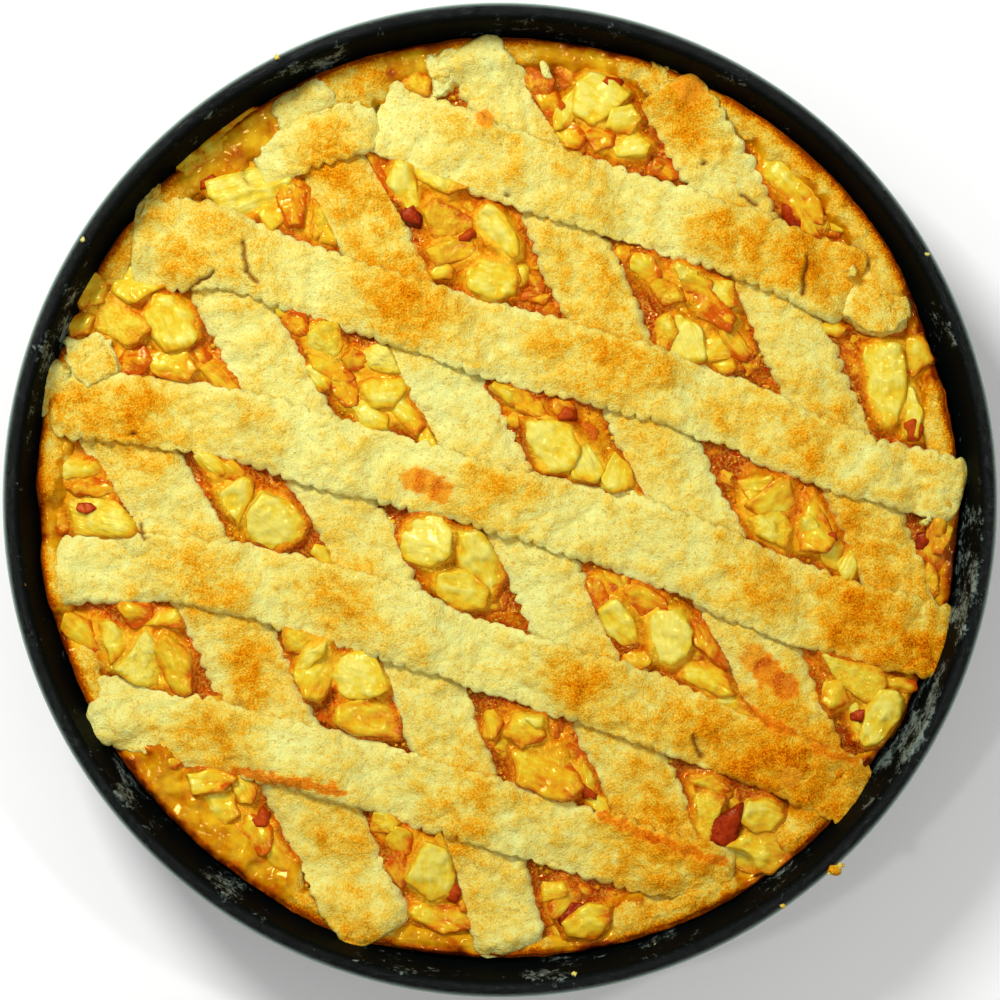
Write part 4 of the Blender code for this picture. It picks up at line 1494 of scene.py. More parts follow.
# The pieces that stand proud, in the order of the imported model's own
APPLE_PIECES = (
    Slice(((21, 113), (24, 116), (28.5, 115), (35, 111), (31, 106), (26, 102), (20, 106)), 0.92, rise=4.0),
    Slice(oval(34, 103.5, 9, 8, 20), 0.8, rise=4.0),
    Slice(oval(81, 85, 27, 10, -50), 0.6, rise=3.5),
    Slice(oval(-15, 87, 18, 7, -15), 0.7, Cut.TORN, 3.5),
    Slice(((-6, 77), (-3, 80), (0, 78), (4.5, 71), (5, 67), (1.5, 66.5), (-5, 73)), 0.97, rise=4.5),
    Slice(((-80, 87), (-62, 91.5), (-57, 88), (-60, 82.5), (-69, 76.5), (-78, 79)), 0.9, Cut.RIDGED, 4.0),
    Slice(((-9, 61), (-4, 65), (2, 64), (4, 60), (3, 56), (-3, 55), (-8, 57)), 0.78, rise=4.0),
    Slice(((-20, 68.5), (-8.5, 72.5), (-6.5, 66), (-16, 63.5)), 0.5, rise=3.5),
    Slice(oval(45.5, 56.5, 10, 7, -30), 0.5, Cut.TORN, 3.5),
    Slice(oval(57, 52.5, 19, 7, -45), 0.22, rise=4.0),
    Slice(((-109, 50), (-107, 54), (-103, 53), (-97, 49), (-94, 46), (-101, 42), (-108, 46)), 0.6,
          Cut.TORN, 4.0),
    Slice(((-93, 56), (-89, 55), (-84, 50), (-83, 45), (-86, 42), (-92, 41), (-94, 44), (-96, 50)), 0.78,
          rise=4.5),
    Slice(((-52, 45), (-49, 48), (-45, 47), (-43, 42), (-45, 38), (-52, 41)), 0.78, Cut.TORN, 4.5),
    Slice(((-38, 32), (-34, 33), (-26, 33), (-25, 31), (-29, 26), (-35, 26)), 0.78, rise=4.0),
    Slice(((7, 21), (13, 21.5), (19, 19.5), (21, 15), (19, 9), (12, 8.5), (9, 14)), 0.92, rise=5.0),
    Slice(((31, 12), (34, 9), (35.5, 4), (30, 2), (28, 5), (29, 8)), 0.88, rise=4.0),
    Slice(((65, 5), (74, 6.5), (73.5, 1), (68, 0)), 0.68, Cut.RIDGED),
    Slice(((99, 41), (103, 42.5), (109, 42), (110.5, 37), (110, 30), (109, 24), (106, 20.5),
           (103.5, 22), (101, 28)), 0.84, rise=4.5),
    Slice(((68, -5), (76, -3.5), (78.5, -8), (77, -13.5), (71, -10)), 0.75, Cut.TORN, 4.0),
    Slice(((85, 2), (91, -10), (88, -14), (82, -13), (81.5, -8), (83, -4)), 0.52, rise=4.0),
    Slice(((-76.5, 2), (-71, 6), (-68.5, 5), (-68.5, 0), (-71, -5.5), (-74, -3)), 0.92, rise=4.0),
    Slice(((-65, 2.5), (-58, -0.5), (-53.5, -6), (-55, -10), (-60, -13), (-67, -10), (-69, -5)), 0.88,
          rise=4.5),
    Slice(((-117, -1), (-113, 0.5), (-105, -0.5), (-100, -5), (-99, -8), (-103, -10), (-115, -9.5)), 0.8,
          Cut.RIDGED, 3.5),
    Slice(((-26.8, -10), (-23, -4.8), (-17, -4.6), (-13.2, -9), (-14, -15), (-19, -18), (-25, -15.5)), 1.0,
          rise=4.5),
    Slice(((-11, -8.5), (-6, -8.5), (-2.5, -13), (0.5, -20), (-2, -25.5), (-5, -24), (-10, -18)), 0.84,
          rise=4.0),
    Slice(((26.5, -30), (32, -27), (36, -33), (37.5, -38), (33, -39), (29, -35)), 0.82, rise=4.0),
    Slice(((40.5, -33), (43.5, -30.2), (49, -30.5), (52, -35), (51, -41), (47, -44.5), (42, -42.5)), 0.97,
          rise=5.0),
    Slice(oval(57.5, -49, 16, 7, -27), 0.6, rise=3.5),
    Slice(((88, -42), (92, -43.5), (97, -45.5), (103, -46.5), (105, -50), (102, -55.5), (98, -54),
           (93, -49)), 0.7, Cut.TORN, 4.0),
    Slice(((-96.5, -35.5), (-105, -46), (-99, -49.5), (-92, -50.5), (-92.5, -42)), 0.88, Cut.TORN, 4.0),
    Slice(oval(-88, -45, 19, 9, -72), 0.55, rise=4.0),
    Slice(((-46.5, -38), (-45.5, -48), (-49, -54.5), (-53, -53.5), (-56, -47)), 0.66, rise=4.5),
    Slice(((-43, -43), (-38, -41), (-35, -42.5), (-30.5, -48), (-30.5, -52), (-36, -54), (-43, -52.5),
           (-45, -48)), 0.88, rise=4.5),
    Slice(oval(7, -63, 11, 9.5, 0), 0.52, rise=4.0),
    Slice(((52, -79), (62, -81.5), (60, -86), (57, -91), (56, -97), (53.5, -92)), 0.6, Cut.TORN, 3.5),
    Slice(((67.5, -82), (72, -81.5), (75.5, -84), (76.5, -87), (74, -89.5), (70, -90), (66.5, -87)), 0.72,
          rise=4.5),
    Slice(((-85, -75), (-77, -73.5), (-72, -76), (-77, -79), (-83, -80)), 0.65, rise=3.5),
    Slice(oval(-65.5, -91, 13, 9, -50), 0.38, rise=3.5),
    Slice(oval(-19, -102, 17, 12, 88), 0.82, rise=5.0),
    Slice(((17, -114.5), (23.5, -110.5), (29, -111), (28.5, -116), (26, -119), (19, -118.5)), 0.62,
          rise=4.0),
)

# Lower pieces that fill the gaps between them
SUNK_PIECES = (
    # upper left
    Slice(oval(-57, 82, 18, 7, -75), 0.38), Slice(oval(-62, 77, 6, 5, 0), 0.8),
    Slice(oval(-49, 76, 10, 5, 80), 0.62, Cut.TORN), Slice(oval(-46, 72, 6, 5, -60), 0.65),
    Slice(oval(-35, 91, 15, 6, -65), 0.22), Slice(oval(-26.5, 86.5, 17, 8, -75), 0.88, rise=3.8),
    Slice(oval(-15, 76, 15, 9, -20), 0.38, Cut.TORN), Slice(oval(-16, 62.5, 5, 4, 0), 0.8),
    Slice(oval(-22, 113, 8, 6, -60), 0.5, Cut.TORN),
    Slice(oval(-72, 100, 22, 8, 36), 0.45, rise=2.6), Slice(oval(-84, 93, 9, 6, 40), 0.6, Cut.TORN, 2.6),
    # top
    Slice(oval(9, 113, 11, 9, 20), 0.14, Cut.TORN), Slice(oval(13, 108.5, 9, 7, -20), 0.3),
    Slice(oval(17.7, 106, 10, 5, 60), 0.82), Slice(oval(19, 99, 8, 6, 0), 0.52),
    Slice(oval(36, 96.5, 10, 6, 10), 0.95, rise=3.6), Slice(oval(27, 98, 8, 6, -10), 0.35),
    # upper right
    Slice(oval(40, 63.5, 8, 6, -30), 0.62), Slice(oval(50.5, 61.5, 6, 3.4, -35), 0.97, rise=3.8),
    Slice(oval(53.5, 58.5, 8, 5, -30), 0.5), Slice(oval(60, 56, 9, 8, -50), 0.72, Cut.TORN),
    Slice(((48, 50), (55, 46), (56.5, 39), (51, 37.5), (46.5, 40)), 0.97, Cut.RIDGED, 3.8),
    Slice(oval(59, 41, 7, 6, 60), 0.72), Slice(oval(64, 42.5, 10, 6, -45), 0.45, Cut.RIDGED),
    Slice(oval(45, 45.5, 10, 5, 80), 0.58, Cut.TORN), Slice(oval(61, 36.5, 6, 4, 0), 0.62),
    Slice(((82, 80), (88, 75.5), (86.5, 72), (83, 72.5)), 0.42, Cut.RIDGED),
    Slice(oval(91, 47, 6, 4, 0), 0.6),
    # left, above the middle
    Slice(((-105, 57), (-101, 65.5), (-97, 66), (-91.5, 59), (-96, 56), (-101, 54)), 0.78, rise=3.8),
    Slice(oval(-111, 56.5, 10, 8, 60), 0.62), Slice(oval(-106, 62, 7, 5, 60), 0.5),
    Slice(oval(-88, 36.5, 13, 8, -10), 0.6, rise=3.8), Slice(oval(-99.5, 37.5, 9, 8, 20), 0.16),
    Slice(oval(-76, 32.5, 12, 5, -35), 0.55, Cut.RIDGED), Slice(oval(-114, 47.5, 7, 5, 30), 0.5),
    Slice(oval(-60, 52.5, 6, 5, 0), 0.75), Slice(oval(-55, 48.5, 7, 5, -40), 0.25),
    Slice(oval(-46, 36, 13, 6, -30), 0.55), Slice(oval(-43, 31, 13, 7, -50), 0.4),
    Slice(oval(-50, 33, 7, 5, -45), 0.88, Cut.RIDGED), Slice(oval(-39.5, 38, 6, 6, 0), 0.42),
    Slice(((-37, 40), (-33, 42), (-27.5, 40.5), (-26, 37), (-28, 34.5), (-35, 36)), 0.97, Cut.TORN, 3.6),
    Slice(((-39.5, 25), (-37, 26.5), (-30.5, 23), (-31, 19.5), (-37, 19.5)), 0.88),
    Slice(((-30, 24), (-26, 28), (-20.5, 21), (-23, 18)), 0.72), Slice(oval(-19, 16, 7, 4, -50), 0.62),
    # middle
    Slice(oval(3.5, 28.5, 13, 5, -25), 0.62, Cut.RIDGED), Slice(oval(9.5, 24.5, 10, 4, -20), 0.5),
    Slice(((23, 16), (26, 12), (28.5, 8), (26, 5.5), (20, 6.5), (20.5, 11)), 0.92, Cut.RIDGED, 3.8),
    Slice(oval(37.5, 1, 6, 4, -40), 0.52),
    Slice(((-83, 12), (-80, 14.5), (-74.5, 9), (-78, 5.5)), 0.78, Cut.RIDGED),
    Slice(oval(-73.5, 7.5, 6, 5, -40), 0.5), Slice(oval(-48, -15, 6, 4, -40), 0.82),
    Slice(((-17, -20), (-9, -19.5), (-3.5, -24), (-5, -29), (-12, -28.5), (-17, -24.5)), 0.78, rise=3.6),
    # right of the middle
    Slice(((67, -1), (75, 6), (78.5, 5), (79.5, -3), (72, -4.5), (69, -3)), 0.55, rise=3.4),
    Slice(oval(84, -7.5, 6, 5, -60), 0.88, Cut.TORN, 4.2), Slice(oval(90.5, -14, 9, 6, -70), 0.72),
    Slice(oval(94.5, -17.5, 8, 5, 65), 0.92, Cut.RIDGED), Slice(oval(26.5, -26, 9, 5, 80), 0.3),
    Slice(oval(40, -27.5, 12, 6, -20), 0.35), Slice(oval(56.5, -38.5, 16, 7, -53), 0.16, rise=3.4),
    Slice(oval(37.5, -44, 7, 5, 0), 0.5), Slice(oval(62, -55, 17, 5, -27), 0.68, Cut.TORN),
    # left edge
    Slice(((-120, 8), (-118, 10.5), (-109, 10.5), (-109, 6.5), (-118, 6)), 0.85),
    Slice(oval(-111, 3.5, 15, 5, -5), 0.4), Slice(oval(-114, -35.5, 14, 7, -50), 0.5),
    Slice(((-109.5, -34), (-106, -33.5), (-101, -37.5), (-104, -41.5), (-106.5, -45.5)), 0.8, rise=3.4),
    Slice(oval(-99.5, -31, 9, 6, -10), 0.3),
    Slice(((-96.5, -34), (-92, -31), (-87.5, -29.5), (-86.5, -34)), 0.65),
    Slice(oval(-76, -56, 7, 5, -40), 0.5),
    # below the middle
    Slice(((-58.5, -35), (-53, -33.5), (-48.5, -37.5), (-52, -42), (-57.5, -41)), 0.55, Cut.TORN),
    Slice(oval(-51.5, -42.5, 13, 4.5, 45), 1.0, rise=5.0),
    Slice(((-45, -56), (-33, -55), (-28.5, -58), (-28.5, -64.5), (-38, -63.5), (-44.5, -61)), 0.52, rise=3.6),
    Slice(oval(-2, -61, 8, 5, 80), 0.55), Slice(oval(9.5, -60.5, 4, 3, 0), 0.9, rise=4.2),
    Slice(oval(13, -74, 23, 14, -35), 0.42, rise=3.8), Slice(oval(24, -76.5, 10, 3.5, -75), 0.65),
    Slice(oval(27.5, -83.5, 6, 4, -40), 0.85), Slice(oval(31, -87, 6, 4, -40), 0.5),
    # lower left
    Slice(oval(-76, -83, 11, 8, -30), 0.68), Slice(oval(-69.5, -79, 9, 6, -60), 0.6, Cut.RIDGED),
    Slice(oval(-91, -70.5, 7, 4, -20), 0.55), Slice(oval(-60.5, -98, 11, 7, -55), 0.5),
    Slice(oval(-31.5, -87.5, 8, 6, -50), 0.62, Cut.TORN), Slice(oval(-27, -92.5, 9, 7, -50), 0.55),
    Slice(oval(-28, -100, 9, 6, -70), 0.25), Slice(oval(-14, -93, 6, 6, 0), 0.65),
    Slice(oval(-13, -98, 6, 5, 80), 0.72, Cut.RIDGED), Slice(oval(-9, -107, 8, 5, 80), 0.55, Cut.TORN),
    Slice(oval(-16.5, -114, 22, 8, -10), 0.45),
    # right edge, down to the foot
    Slice(((110.5, 31), (113, 30), (114.5, 24), (114.5, 17.5), (110, 18.5)), 0.97, rise=4.2),
    Slice(oval(113.5, 39, 11, 7, 72), 0.55, rise=3.6),
    Slice(((115, -14), (118, -6.5), (121.5, -5.5), (121.5, -17), (119, -19)), 0.4, rise=2.8),
    Slice(oval(120, -10, 8, 5, 70), 0.66, Cut.TORN, 3.2), Slice(oval(117.5, -22, 9, 3.5, -75), 0.5, Cut.TORN),
    Slice(oval(91.5, -53, 8, 6.5, 80), 0.48, rise=3.8), Slice(oval(97.5, -61.5, 11, 4, -80), 0.62, Cut.TORN),
    Slice(((104, -51.5), (108, -52), (110, -55), (108.5, -60), (104, -65.5), (99.5, -67), (98, -64),
           (100, -57)), 0.84, rise=4.6),
    Slice(oval(109, -51, 9, 4, -10), 0.5), Slice(oval(57.5, -77.5, 8, 5, -20), 0.52),
    Slice(((62, -94), (66, -91.5), (71, -90.5), (77, -93), (79, -97), (74, -101), (68, -100.5),
           (62, -98)), 0.62, rise=3.8),
    Slice(((11.5, -105), (17, -104.5), (17.5, -108), (12, -109)), 0.75, Cut.RIDGED),
    Slice(oval(18, -110.5, 9, 6, 35), 0.42, rise=2.6),
)

# Red skin left on some of the pieces
PEEL_BITS = (
    Slice(((66.5, -82.5), (62, -86), (57, -88.5), (57.5, -92), (60, -97.5), (62.5, -95), (65, -90)),
          0.0, rise=4.2),
    Slice(oval(-79, 86.5, 5, 3.5, 20), 0.5, rise=3.4), Slice(oval(-66, 98.5, 3.5, 3, 30), 0.7, rise=3.2),
    Slice(oval(30.5, 113, 4.5, 3.5, -30), 0.6, rise=4.2), Slice(oval(-8.8, 72, 3.5, 2.4, 20), 0.6, rise=4.0),
    Slice(oval(112.3, 19, 5, 4.5, -30), 0.8, rise=4.6), Slice(oval(18, 23.5, 4, 3, 10), 0.7, rise=3.4),
    Slice(oval(-113, -2.5, 4, 3, 0), 0.6, rise=3.8), Slice(oval(-64.5, -87.5, 4, 3.4, 40), 0.6, rise=3.6),
    Slice(oval(89.5, -10.5, 3.4, 2.8, 0), 0.7, rise=4.2), Slice(oval(98, -58.6, 4, 2.6, 10), 0.3, rise=3.2),
    Slice(oval(-13, -107, 5, 4.5, 0), 0.5, rise=3.4), Slice(oval(80, 77, 8, 5, -60), 0.1, rise=2.6),
    Slice(oval(-24.5, 78, 7, 4, -60), 0.1, rise=2.4), Slice(oval(116, -10.8, 6, 2.6, 35), 0.1, rise=2.8),
    Slice(oval(20, -112.3, 9, 2.6, 35), 0.0, rise=3.0), Slice(oval(24, -79.5, 5, 2.2, -50), 0.5, rise=3.6),
)

# Darker syrup where it boiled down darkest, and painted shade in the shadowed tips of the openings
DARK_SYRUP_AND_SHADE = (
    Patch(-26, 77, 5, 0.5), Patch(43, 47, 5, 0.45), Patch(68, 37, 6, 0.6), Patch(-41, 46, 4, 0.5),
    Patch(-35, 44, 4, 0.5), Patch(-95, 37, 5, 0.3), Patch(-104, -31, 5, 0.5), Patch(-82, -50, 5, 0.5),
    Patch(-46, -52, 4, 0.5), Patch(-49, -59, 4, 0.5), Patch(-25, -67, 5, 0.5), Patch(-3, -55, 5, 0.4),
    Patch(1, -72, 5, 0.4), Patch(-11, -103, 4, 0.5), Patch(-29, -97, 5, 0.4), Patch(-36, -117, 5, 0.5),
    Patch(35, -41, 5, 0.45), Patch(57, -38, 6, 0.4), Patch(79, -2, 5, 0.4), Patch(96, 44, 6, 0.4),
    Patch(99, 31, 5, 0.35), Patch(94, -50, 6, 0.4), Patch(93, -66, 6, 0.6), Patch(100, -72, 5, 0.5),
    Patch(48, -71, 5, 0.7), Patch(66, -81, 5, 0.5), Patch(112, -6, 5, 0.7), Patch(115, -11, 5, 0.6),
    Patch(24, -107, 6, 0.6), Patch(18, -115, 5, 0.5), Patch(12, -103, 5, 0.6), Patch(18, 22, 4, 0.4),
    Patch(5, 18, 4, 0.5), Patch(8, 57, 5, 0.5), Patch(1, -28, 5, 0.5), Patch(-28, -3, 6, 0.6),
    Patch(-64, 5, 5, 0.5), Patch(-53, -13, 5, 0.5), Patch(-101, -3, 4, 0.5), Patch(-84, 12, 6, 0.8),
    Patch(-64, 57, 5, 0.8), Patch(30, 71, 6, 0.8), Patch(62, 8, 5, 0.8), Patch(-61, -34, 5, 0.7),
    Patch(-11, -50, 5, 0.8), Patch(-38, -84, 5, 0.8), Patch(8, 110, 8, 0.5), Patch(14, 118, 6, 0.4),
    Patch(46, 89, 7, 0.6), Patch(79, 77, 6, 0.6), Patch(-10, 113, 4, 0.6), Patch(-98, 53, 5, 0.3),
    Patch(-82, 43, 4, 0.4), Patch(10, 30, 6, 0.4), Patch(28, -29, 4, 0.4), Patch(40, 55, 5, 0.4),
)


@dataclass
class Filling:
    """Jellied syrup under the lattice, with the apple that is sunk in it."""

    lattice: Lattice
    cells: int = 312
    lift: float = 2.9
    noise: Noise = field(default_factory=lambda: Noise(31))

    def level(self, plan: np.ndarray) -> np.ndarray:
        """Height of the syrup itself at each place."""
        return (filling_height(plan) + self.lift + 0.6 * self.noise.layered(flat(plan), 15.0, 2)
                + 0.3 * self.noise.layered(flat(plan) + 50.0, 5.0, 2))

    def build(self, material: bpy.types.Material) -> None:
        """Lay a grid over the round pie, raise it and close it underneath.

        Args:
            material: the syrup.
        """
        piece, first, second = new_grid("jellied_syrup", self.cells, self.cells)
        plan = self._round(first, second) * (PIE_RADIUS - 2.4)
        height = self.level(plan)
        flesh = 0.5 + 0.2 * self.noise.layered(flat(plan) + 80.0, 9.0, 3)
        wavy = 0.5 * self.noise.layered(flat(plan) + 140.0, 4.0, 2)
        climb = np.zeros(len(plan))
        for part in APPLE_PIECES + SUNK_PIECES:
            margin = part.lump().margin(plan)
            near = 1.0 - ease(margin, -0.2, 1.8)
            climb = np.maximum(climb, (0.66 * (part.rise - 0.8) + wavy) * near)
            flesh += 0.5 * part.tone * (1.0 - ease(margin, -1.6, 1.0))
        height += climb
        height += 0.14 * self.noise.layered(flat(plan) + 300.0, 2.2, 2)
        # partly painted shade: some of these spots darken the syrup where the strips shade the openings' tips
        for dark_spot in DARK_SYRUP_AND_SHADE:
            away = np.hypot(plan[:, 0] - dark_spot.x, plan[:, 1] - dark_spot.y) / dark_spot.radius
            flesh -= dark_spot.strength * np.exp(-away ** 2)
        # darker syrup along the strips' edges: partly sugar cooked darker there, partly painted shade under
        # the edges
        flesh -= 0.34 * (1.0 - ease(np.abs(self.lattice.past_any(plan)), 0.0, 2.6))
        flesh -= 0.5 * ease(np.hypot(plan[:, 0], plan[:, 1]), PIE_RADIUS - 5.0, PIE_RADIUS - 1.5)
        place_vertices(piece, np.column_stack((plan, self._under_strips(plan, height))))
        store(piece, "flesh", flesh)
        self._close(piece)
        settle(piece, "cooked_syrup", material, "filling")

    def _under_strips(self, plan: np.ndarray, height: np.ndarray) -> np.ndarray:
        """Keep the syrup below the undersides of the strips that cover it."""
        for layer in Layer:
            base, _ = self.lattice.rests_at(layer, plan)
            covered = self.lattice.past[layer].at(plan) < -1.6
            height = np.where(covered, np.minimum(height, base - 0.4), height)
        return height

    @staticmethod
    def _round(first: np.ndarray, second: np.ndarray) -> np.ndarray:
        """A square grid drawn round into a disc of radius 1, with even cells."""
        x = 2.0 * first - 1.0
        y = 2.0 * second - 1.0
        wide = np.abs(x) >= np.abs(y)
        radius = np.where(wide, x, y)
        small = np.where(wide, y, x)
        turn = math.pi / 4.0 * small / np.where(radius == 0.0, 1.0, radius)
        straight = radius * np.cos(turn)
        aside = radius * np.sin(turn)
        return np.column_stack((np.where(wide, straight, aside), np.where(wide, aside, straight)))

    @staticmethod
    def _close(piece: bpy.types.Object) -> None:
        """Draw the rim of the sheet down and close it with a flat underside."""
        select_only(piece)
        bpy.ops.object.mode_set(mode="EDIT")
        bpy.ops.mesh.select_all(action="DESELECT")
        bpy.ops.mesh.select_mode(type="EDGE")
        bpy.ops.mesh.select_non_manifold()
        bpy.ops.mesh.extrude_edges_move(TRANSFORM_OT_translate={"value": (0.0, 0.0, -0.006)})
        bpy.ops.transform.resize(value=(0.97, 0.97, 0.0), center_override=(0.0, 0.0, 0.019))
        bpy.ops.mesh.edge_face_add()
        bpy.ops.mesh.select_all(action="SELECT")
        bpy.ops.mesh.normals_make_consistent(inside=False)
        bpy.ops.object.mode_set(mode="OBJECT")


@dataclass
class Fruit:
    """The apple in the syrup: proud pieces, lower ones, red skin and small pulp."""

    filling: Filling
    fineness: int = 5
    pulp_count: int = 90
    pulp_seed: int = 77

    def build(self, flesh: bpy.types.Material, peel: bpy.types.Material) -> None:
        """Build every piece.

        Args:
            flesh: cooked apple.
            peel: the skin's material.
        """
        for number, part in enumerate(APPLE_PIECES, start=1):
            piece = self._piece(f"cooked_apple_{number:02d}", part, number, self.fineness)
            settle(piece, "cooked_apple", flesh, f"apple_piece_{number:02d}")
        quarters = [SUNK_PIECES[start::4] for start in range(4)]
        for number, parts in enumerate(quarters, start=1):
            pieces = [self._piece(f"low_{index}", part, 100 * number + index,
                                  self.fineness - (part.lump().frame()[1].max() < 4.5))
                      for index, part in enumerate(parts)]
            settle(join(f"sunk_apple_{number}", pieces), "cooked_apple", flesh)
        skins = [self._piece(f"skin_{index}", part, 700 + index, 4)
                 for index, part in enumerate(PEEL_BITS)]
        settle(join("apple_skin", skins), "cooked_apple", peel)
        pulp = [self._piece(f"bit_{index}", part, 900 + index, 3)
                for index, part in enumerate(self._pulp())]
        settle(join("apple_pulp", pulp), "cooked_apple", flesh)

    def _pulp(self) -> list[Slice]:
        """Small bits scattered where no strip and no larger piece lies."""
        draw = np.random.default_rng(self.pulp_seed)
        plan = draw.uniform(-121.0, 121.0, (9000, 2))
        open_here = (np.hypot(plan[:, 0], plan[:, 1]) < 120.0) & (self.filling.lattice.past_any(plan) > 2.4)
        plan = plan[open_here]
        nearest = np.full(len(plan), 99.0)
        for part in APPLE_PIECES + SUNK_PIECES:
            nearest = np.minimum(nearest, part.lump().margin(plan))
        plan = plan[nearest > 0.3][:self.pulp_count]
        return [Slice(oval(x, y, size, size * draw.uniform(0.45, 0.8), draw.uniform(0.0, 180.0)),
                      draw.uniform(0.4, 0.85), draw.choice(list(Cut)), draw.uniform(0.6, 1.3))
                for (x, y), size in zip(plan, draw.uniform(3.0, 7.5, len(plan)))]

    def _piece(self, name: str, part: Slice, seed: int, fineness: int) -> bpy.types.Object:
        """Model one piece from a ball.

        Args:
            name: the piece's name.
            part: its outline, tone and cut.
            seed: makes it differ from the others.
            fineness: how often the ball is divided.

        Returns:
            The new object.
        """
        bpy.ops.object.select_all(action="DESELECT")
        bpy.ops.mesh.primitive_ico_sphere_add(subdivisions=fineness, radius=1.0)
        piece = bpy.context.active_object
        piece.name = name
        middle = part.lump().sides()[0]
        ground = self.filling.level(middle[None, :])[0]
        places, pale, fibres = part.shape(vertex_places(piece), seed)
        places = places + (*middle, ground)
        places[:, 2] = self._below_strips(places)
        place_vertices(piece, places)
        store(piece, "flesh", pale)
        ribs = {Cut.GLASSY: 0.2, Cut.RIDGED: 0.9, Cut.TORN: 0.75}
        store(piece, "rib", np.full(len(places), ribs[part.cut]))
        layer = piece.data.attributes.new("grain", "FLOAT_VECTOR", "POINT")
        layer.data.foreach_set("vector", np.ascontiguousarray(fibres + seed, np.float32).ravel())
        return piece

    def _below_strips(self, places: np.ndarray) -> np.ndarray:
        """Heights pressed down to stay under the strips that cross the piece."""
        height = places[:, 2].copy()
        lattice = self.filling.lattice
        for layer in Layer:
            base, _ = lattice.rests_at(layer, places[:, :2])
            cover = 1.0 - ease(lattice.past[layer].at(places[:, :2]), -2.2, -0.6)
            height -= cover * np.maximum(0.0, height - (base + 0.3))
        return height


@dataclass
class Bubbles:
    """Small syrup bubbles that set along the strips, against the wall and in the open syrup."""

    filling: Filling
    count: int = 520
    seed: int = 41

    def build(self, material: bpy.types.Material) -> None:
        """Model one bubble, copy it and join the copies.

        Args:
            material: the syrup.
        """
        draw = np.random.default_rng(self.seed)
        plan = draw.uniform(-124.0, 124.0, (14000, 2))
        past = self.filling.lattice.past_any(plan)
        radius = np.hypot(plan[:, 0], plan[:, 1])
        wanted = (radius < 123.5) & (past > 0.4) & ((past < 2.0) | (draw.uniform(size=len(plan)) < 0.16))
        plan = plan[wanted][:self.count]
        bpy.ops.object.select_all(action="DESELECT")
        bpy.ops.mesh.primitive_ico_sphere_add(subdivisions=2, radius=1.0)
        first = bpy.context.active_object
        first.name = "bubble"
        ball = vertex_places(first)
        pieces = []
        levels = self.filling.level(plan)
        for (x, y), level, size in zip(plan, levels, draw.uniform(0.3, 0.75, len(plan))):
            bubble = copy_of(first)
            place_vertices(bubble, ball * (size, size, 0.8 * size) + (x, y, level + 0.25))
            store(bubble, "flesh", np.full(len(ball), draw.uniform(0.3, 0.9)))
            pieces.append(bubble)
        bpy.data.objects.remove(first)
        settle(join("syrup_bubbles", pieces), "cooked_syrup", material)


# ---------------------------------------------------------------------------
# Stage


@dataclass
class Studio:
    """Floor, soft light and a camera that looks straight down."""

    camera_height: float = 1042.5
    half_view: float = 134.7
    sensor: float = 36.0

    def build(self) -> None:
        """Set up everything round the pie."""
        self._camera()
        self._floor()
        self._lights()
        bpy.context.scene.view_settings.view_transform = "Standard"

    def _camera(self) -> None:
        """A long lens over the middle of the tin, framing its bead."""
        lens = bpy.data.cameras.new("camera")
        lens.sensor_width = self.sensor
        distance = self.camera_height - (TIN_HIGH.z - BEAD_RADIUS)
        lens.lens = self.sensor * distance / (2.0 * self.half_view)
        lens.clip_start = 0.01
        camera = bpy.data.objects.new("camera", lens)
        camera.location = (0.0, 0.0, self.camera_height * METRES_PER_MM)
        bpy.context.scene.collection.objects.link(camera)
        bpy.context.scene.camera = camera

    def _floor(self) -> None:
        """A plain pale floor."""
        bpy.ops.object.select_all(action="DESELECT")
        bpy.ops.mesh.primitive_plane_add(size=6.0, location=(0.0, 0.0, 0.0))
        floor = bpy.context.active_object
        floor.name = "floor"
        shade = Shading("white painted board")
        floor.data.materials.append(shade.finish(Base_Color=linear("fdfdfc"), Roughness=0.9))

    def _lights(self) -> None:
        """A broad key light from the back left, a soft fill, two small glints and a white surround."""
        self._panel("key", 125.0, 48.0, 0.9, 0.22, 6.4)
        self._panel("fill", -40.0, 50.0, 1.1, 1.2, 1.9)
        self._panel("glint", 20.0, 62.0, 0.9, 0.06, 1.0)
        self._panel("second glint", 200.0, 66.0, 0.9, 0.06, 0.8)
        world = bpy.data.worlds.new("surround")
        bpy.context.scene.world = world
        world.use_nodes = True
        sky = world.node_tree.nodes["Background"]
        sky.inputs["Color"].default_value = (1.0, 1.0, 1.0, 1.0)
        sky.inputs["Strength"].default_value = 0.3

    @staticmethod
    def _panel(name: str, azimuth: float, elevation: float, distance: float, size: float,
               power: float) -> None:
        """Add a soft light panel that faces the pie.

        Args:
            name: the light's name.
            azimuth: its direction in degrees from +X.
            elevation: its height in degrees.
            distance: how far it stands, in metres.
            size: its side in metres.
            power: its power in watts.
        """
        light = bpy.data.lights.new(name, "AREA")
        light.energy = power
        light.size = size
        panel = bpy.data.objects.new(name, light)
        around = math.radians(azimuth)
        up = math.radians(elevation)
        panel.location = (
            distance * math.cos(up) * math.cos(around),
            distance * math.cos(up) * math.sin(around),
            distance * math.sin(up))
        panel.rotation_euler = (math.pi / 2.0 - up, 0.0, around + math.pi / 2.0)
        bpy.context.scene.collection.objects.link(panel)


@dataclass(frozen=True)
class Smear:
    """Dried grease on the tin: its middle and half angle in degrees, and its strength."""

    angle: float
    half: float
    strength: float


SMEARS = (
    Smear(85, 8, 0.7), Smear(112, 6, 0.9), Smear(130, 4, 0.5), Smear(160, 10, 0.9), Smear(218, 5, 0.9),
    Smear(236, 6, 0.7), Smear(258, 5, 0.7), Smear(276, 6, 0.8), Smear(290, 4, 0.6), Smear(306, 8, 0.6),
    Smear(330, 10, 1.25), Smear(349, 9, 1.1), Smear(0, 6, 0.5), Smear(22, 8, 0.4), Smear(60, 10, 0.3),
)


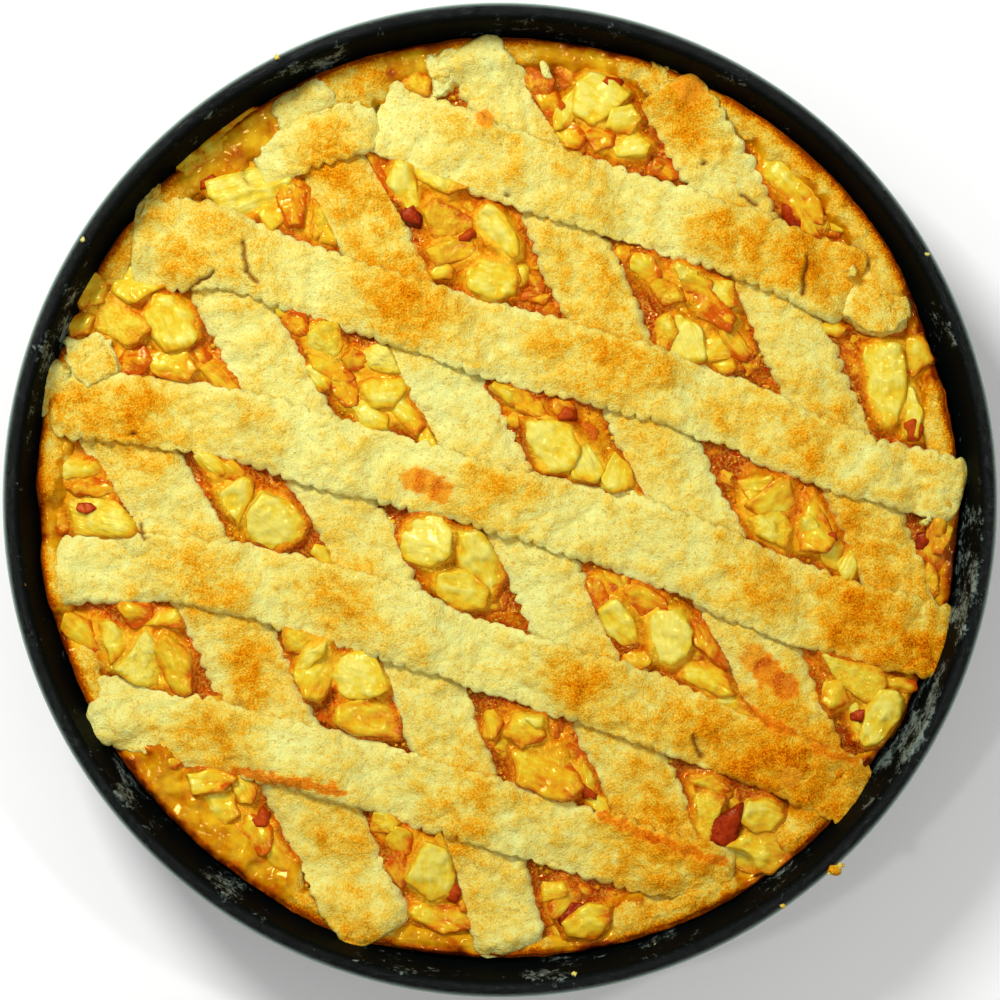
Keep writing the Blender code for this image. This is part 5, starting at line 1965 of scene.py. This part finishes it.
@dataclass
class Tin:
    """The round enamelled tin, turned from its section."""

    steps: int = 360

    def build(self, material: bpy.types.Material) -> None:
        """Spin the tin's section round the axis.

        Args:
            material: the enamel.
        """
        section = self._section()
        piece, turn, roll = new_grid("enamelled_tin", self.steps, len(section) - 1)
        index = np.rint(roll * (len(section) - 1)).astype(int)
        radius, height = section[index].T
        around = 2.0 * math.pi * turn
        place_vertices(piece, np.column_stack((radius * np.cos(around), radius * np.sin(around), height)))
        inside = 1.0 - ease(radius, MOUTH_RADIUS + 0.4, MOUTH_RADIUS + 2.6)
        marked = np.zeros(len(turn))
        for smear in SMEARS:
            away = np.abs((360.0 * turn - smear.angle + 180.0) % 360.0 - 180.0) / smear.half
            marked = np.maximum(marked, smear.strength * np.exp(-away ** 2))
        store(piece, "used", marked * (0.25 + 0.75 * inside) * ease(height, 20.0, 30.0))
        store(piece, "dull", inside)
        # painted highlight: a pale line on the bead's outermost edge
        store(piece, "painted_bead_highlight", 0.8 * ease(radius, RIM_RADIUS - 0.9, RIM_RADIUS - 0.4))
        close_seams(piece)
        settle(piece, "dark_enamel", material, "tin")

    def _section(self) -> np.ndarray:
        """Half section from under the centre round the bead to the floor inside."""
        rise = np.linspace(3.0, TIN_HIGH.z - 5.2, 14)
        bead_turn = np.radians(np.linspace(-90.0, 180.0, 17))
        points = [(0.02, 0.0), (60.0, 0.0), (FLOOR_RADIUS - 2.0, 0.0)]
        foot = np.radians(np.linspace(-80.0, -10.0, 6))
        foot_centre = (FLOOR_RADIUS - 2.0 + SHEET, 3.0)
        points += [(foot_centre[0] + 3.0 * math.cos(t) - 0.6, foot_centre[1] + 3.0 * math.sin(t))
                   for t in foot]
        points += [(wall_radius(z) + SHEET, z) for z in rise]
        centre = (MOUTH_RADIUS + BEAD_RADIUS, TIN_HIGH.z - BEAD_RADIUS)
        points += [(centre[0] + BEAD_RADIUS * math.cos(t), centre[1] + BEAD_RADIUS * math.sin(t))
                   for t in bead_turn]
        points += [(wall_radius(z), z) for z in rise[::-1]]
        points += [(FLOOR_RADIUS - 1.0, SHEET), (60.0, SHEET), (0.02, SHEET)]
        return np.array(points)


def main() -> None:
    """Dress the whole pie."""
    logging.basicConfig(level=logging.INFO, format="%(message)s")
    Studio().build()
    pastry = PastryFinish().build()
    Tin().build(EnamelFinish().build())
    CrustRing().build(pastry)
    Flaps().build(pastry)
    Curl().build(pastry)
    lattice = Lattice(STRIPS, BROWN_PATCHES, STAINS, CRACKS, SEAMS)
    filling = Filling(lattice)
    syrup = SyrupFinish().build()
    filling.build(syrup)
    Fruit(filling).build(AppleFinish().build(), PeelFinish().build())
    Bubbles(filling).build(syrup)
    lattice.build(pastry)
    Crumbs().build(pastry)


if __name__ == "__main__":
    main()
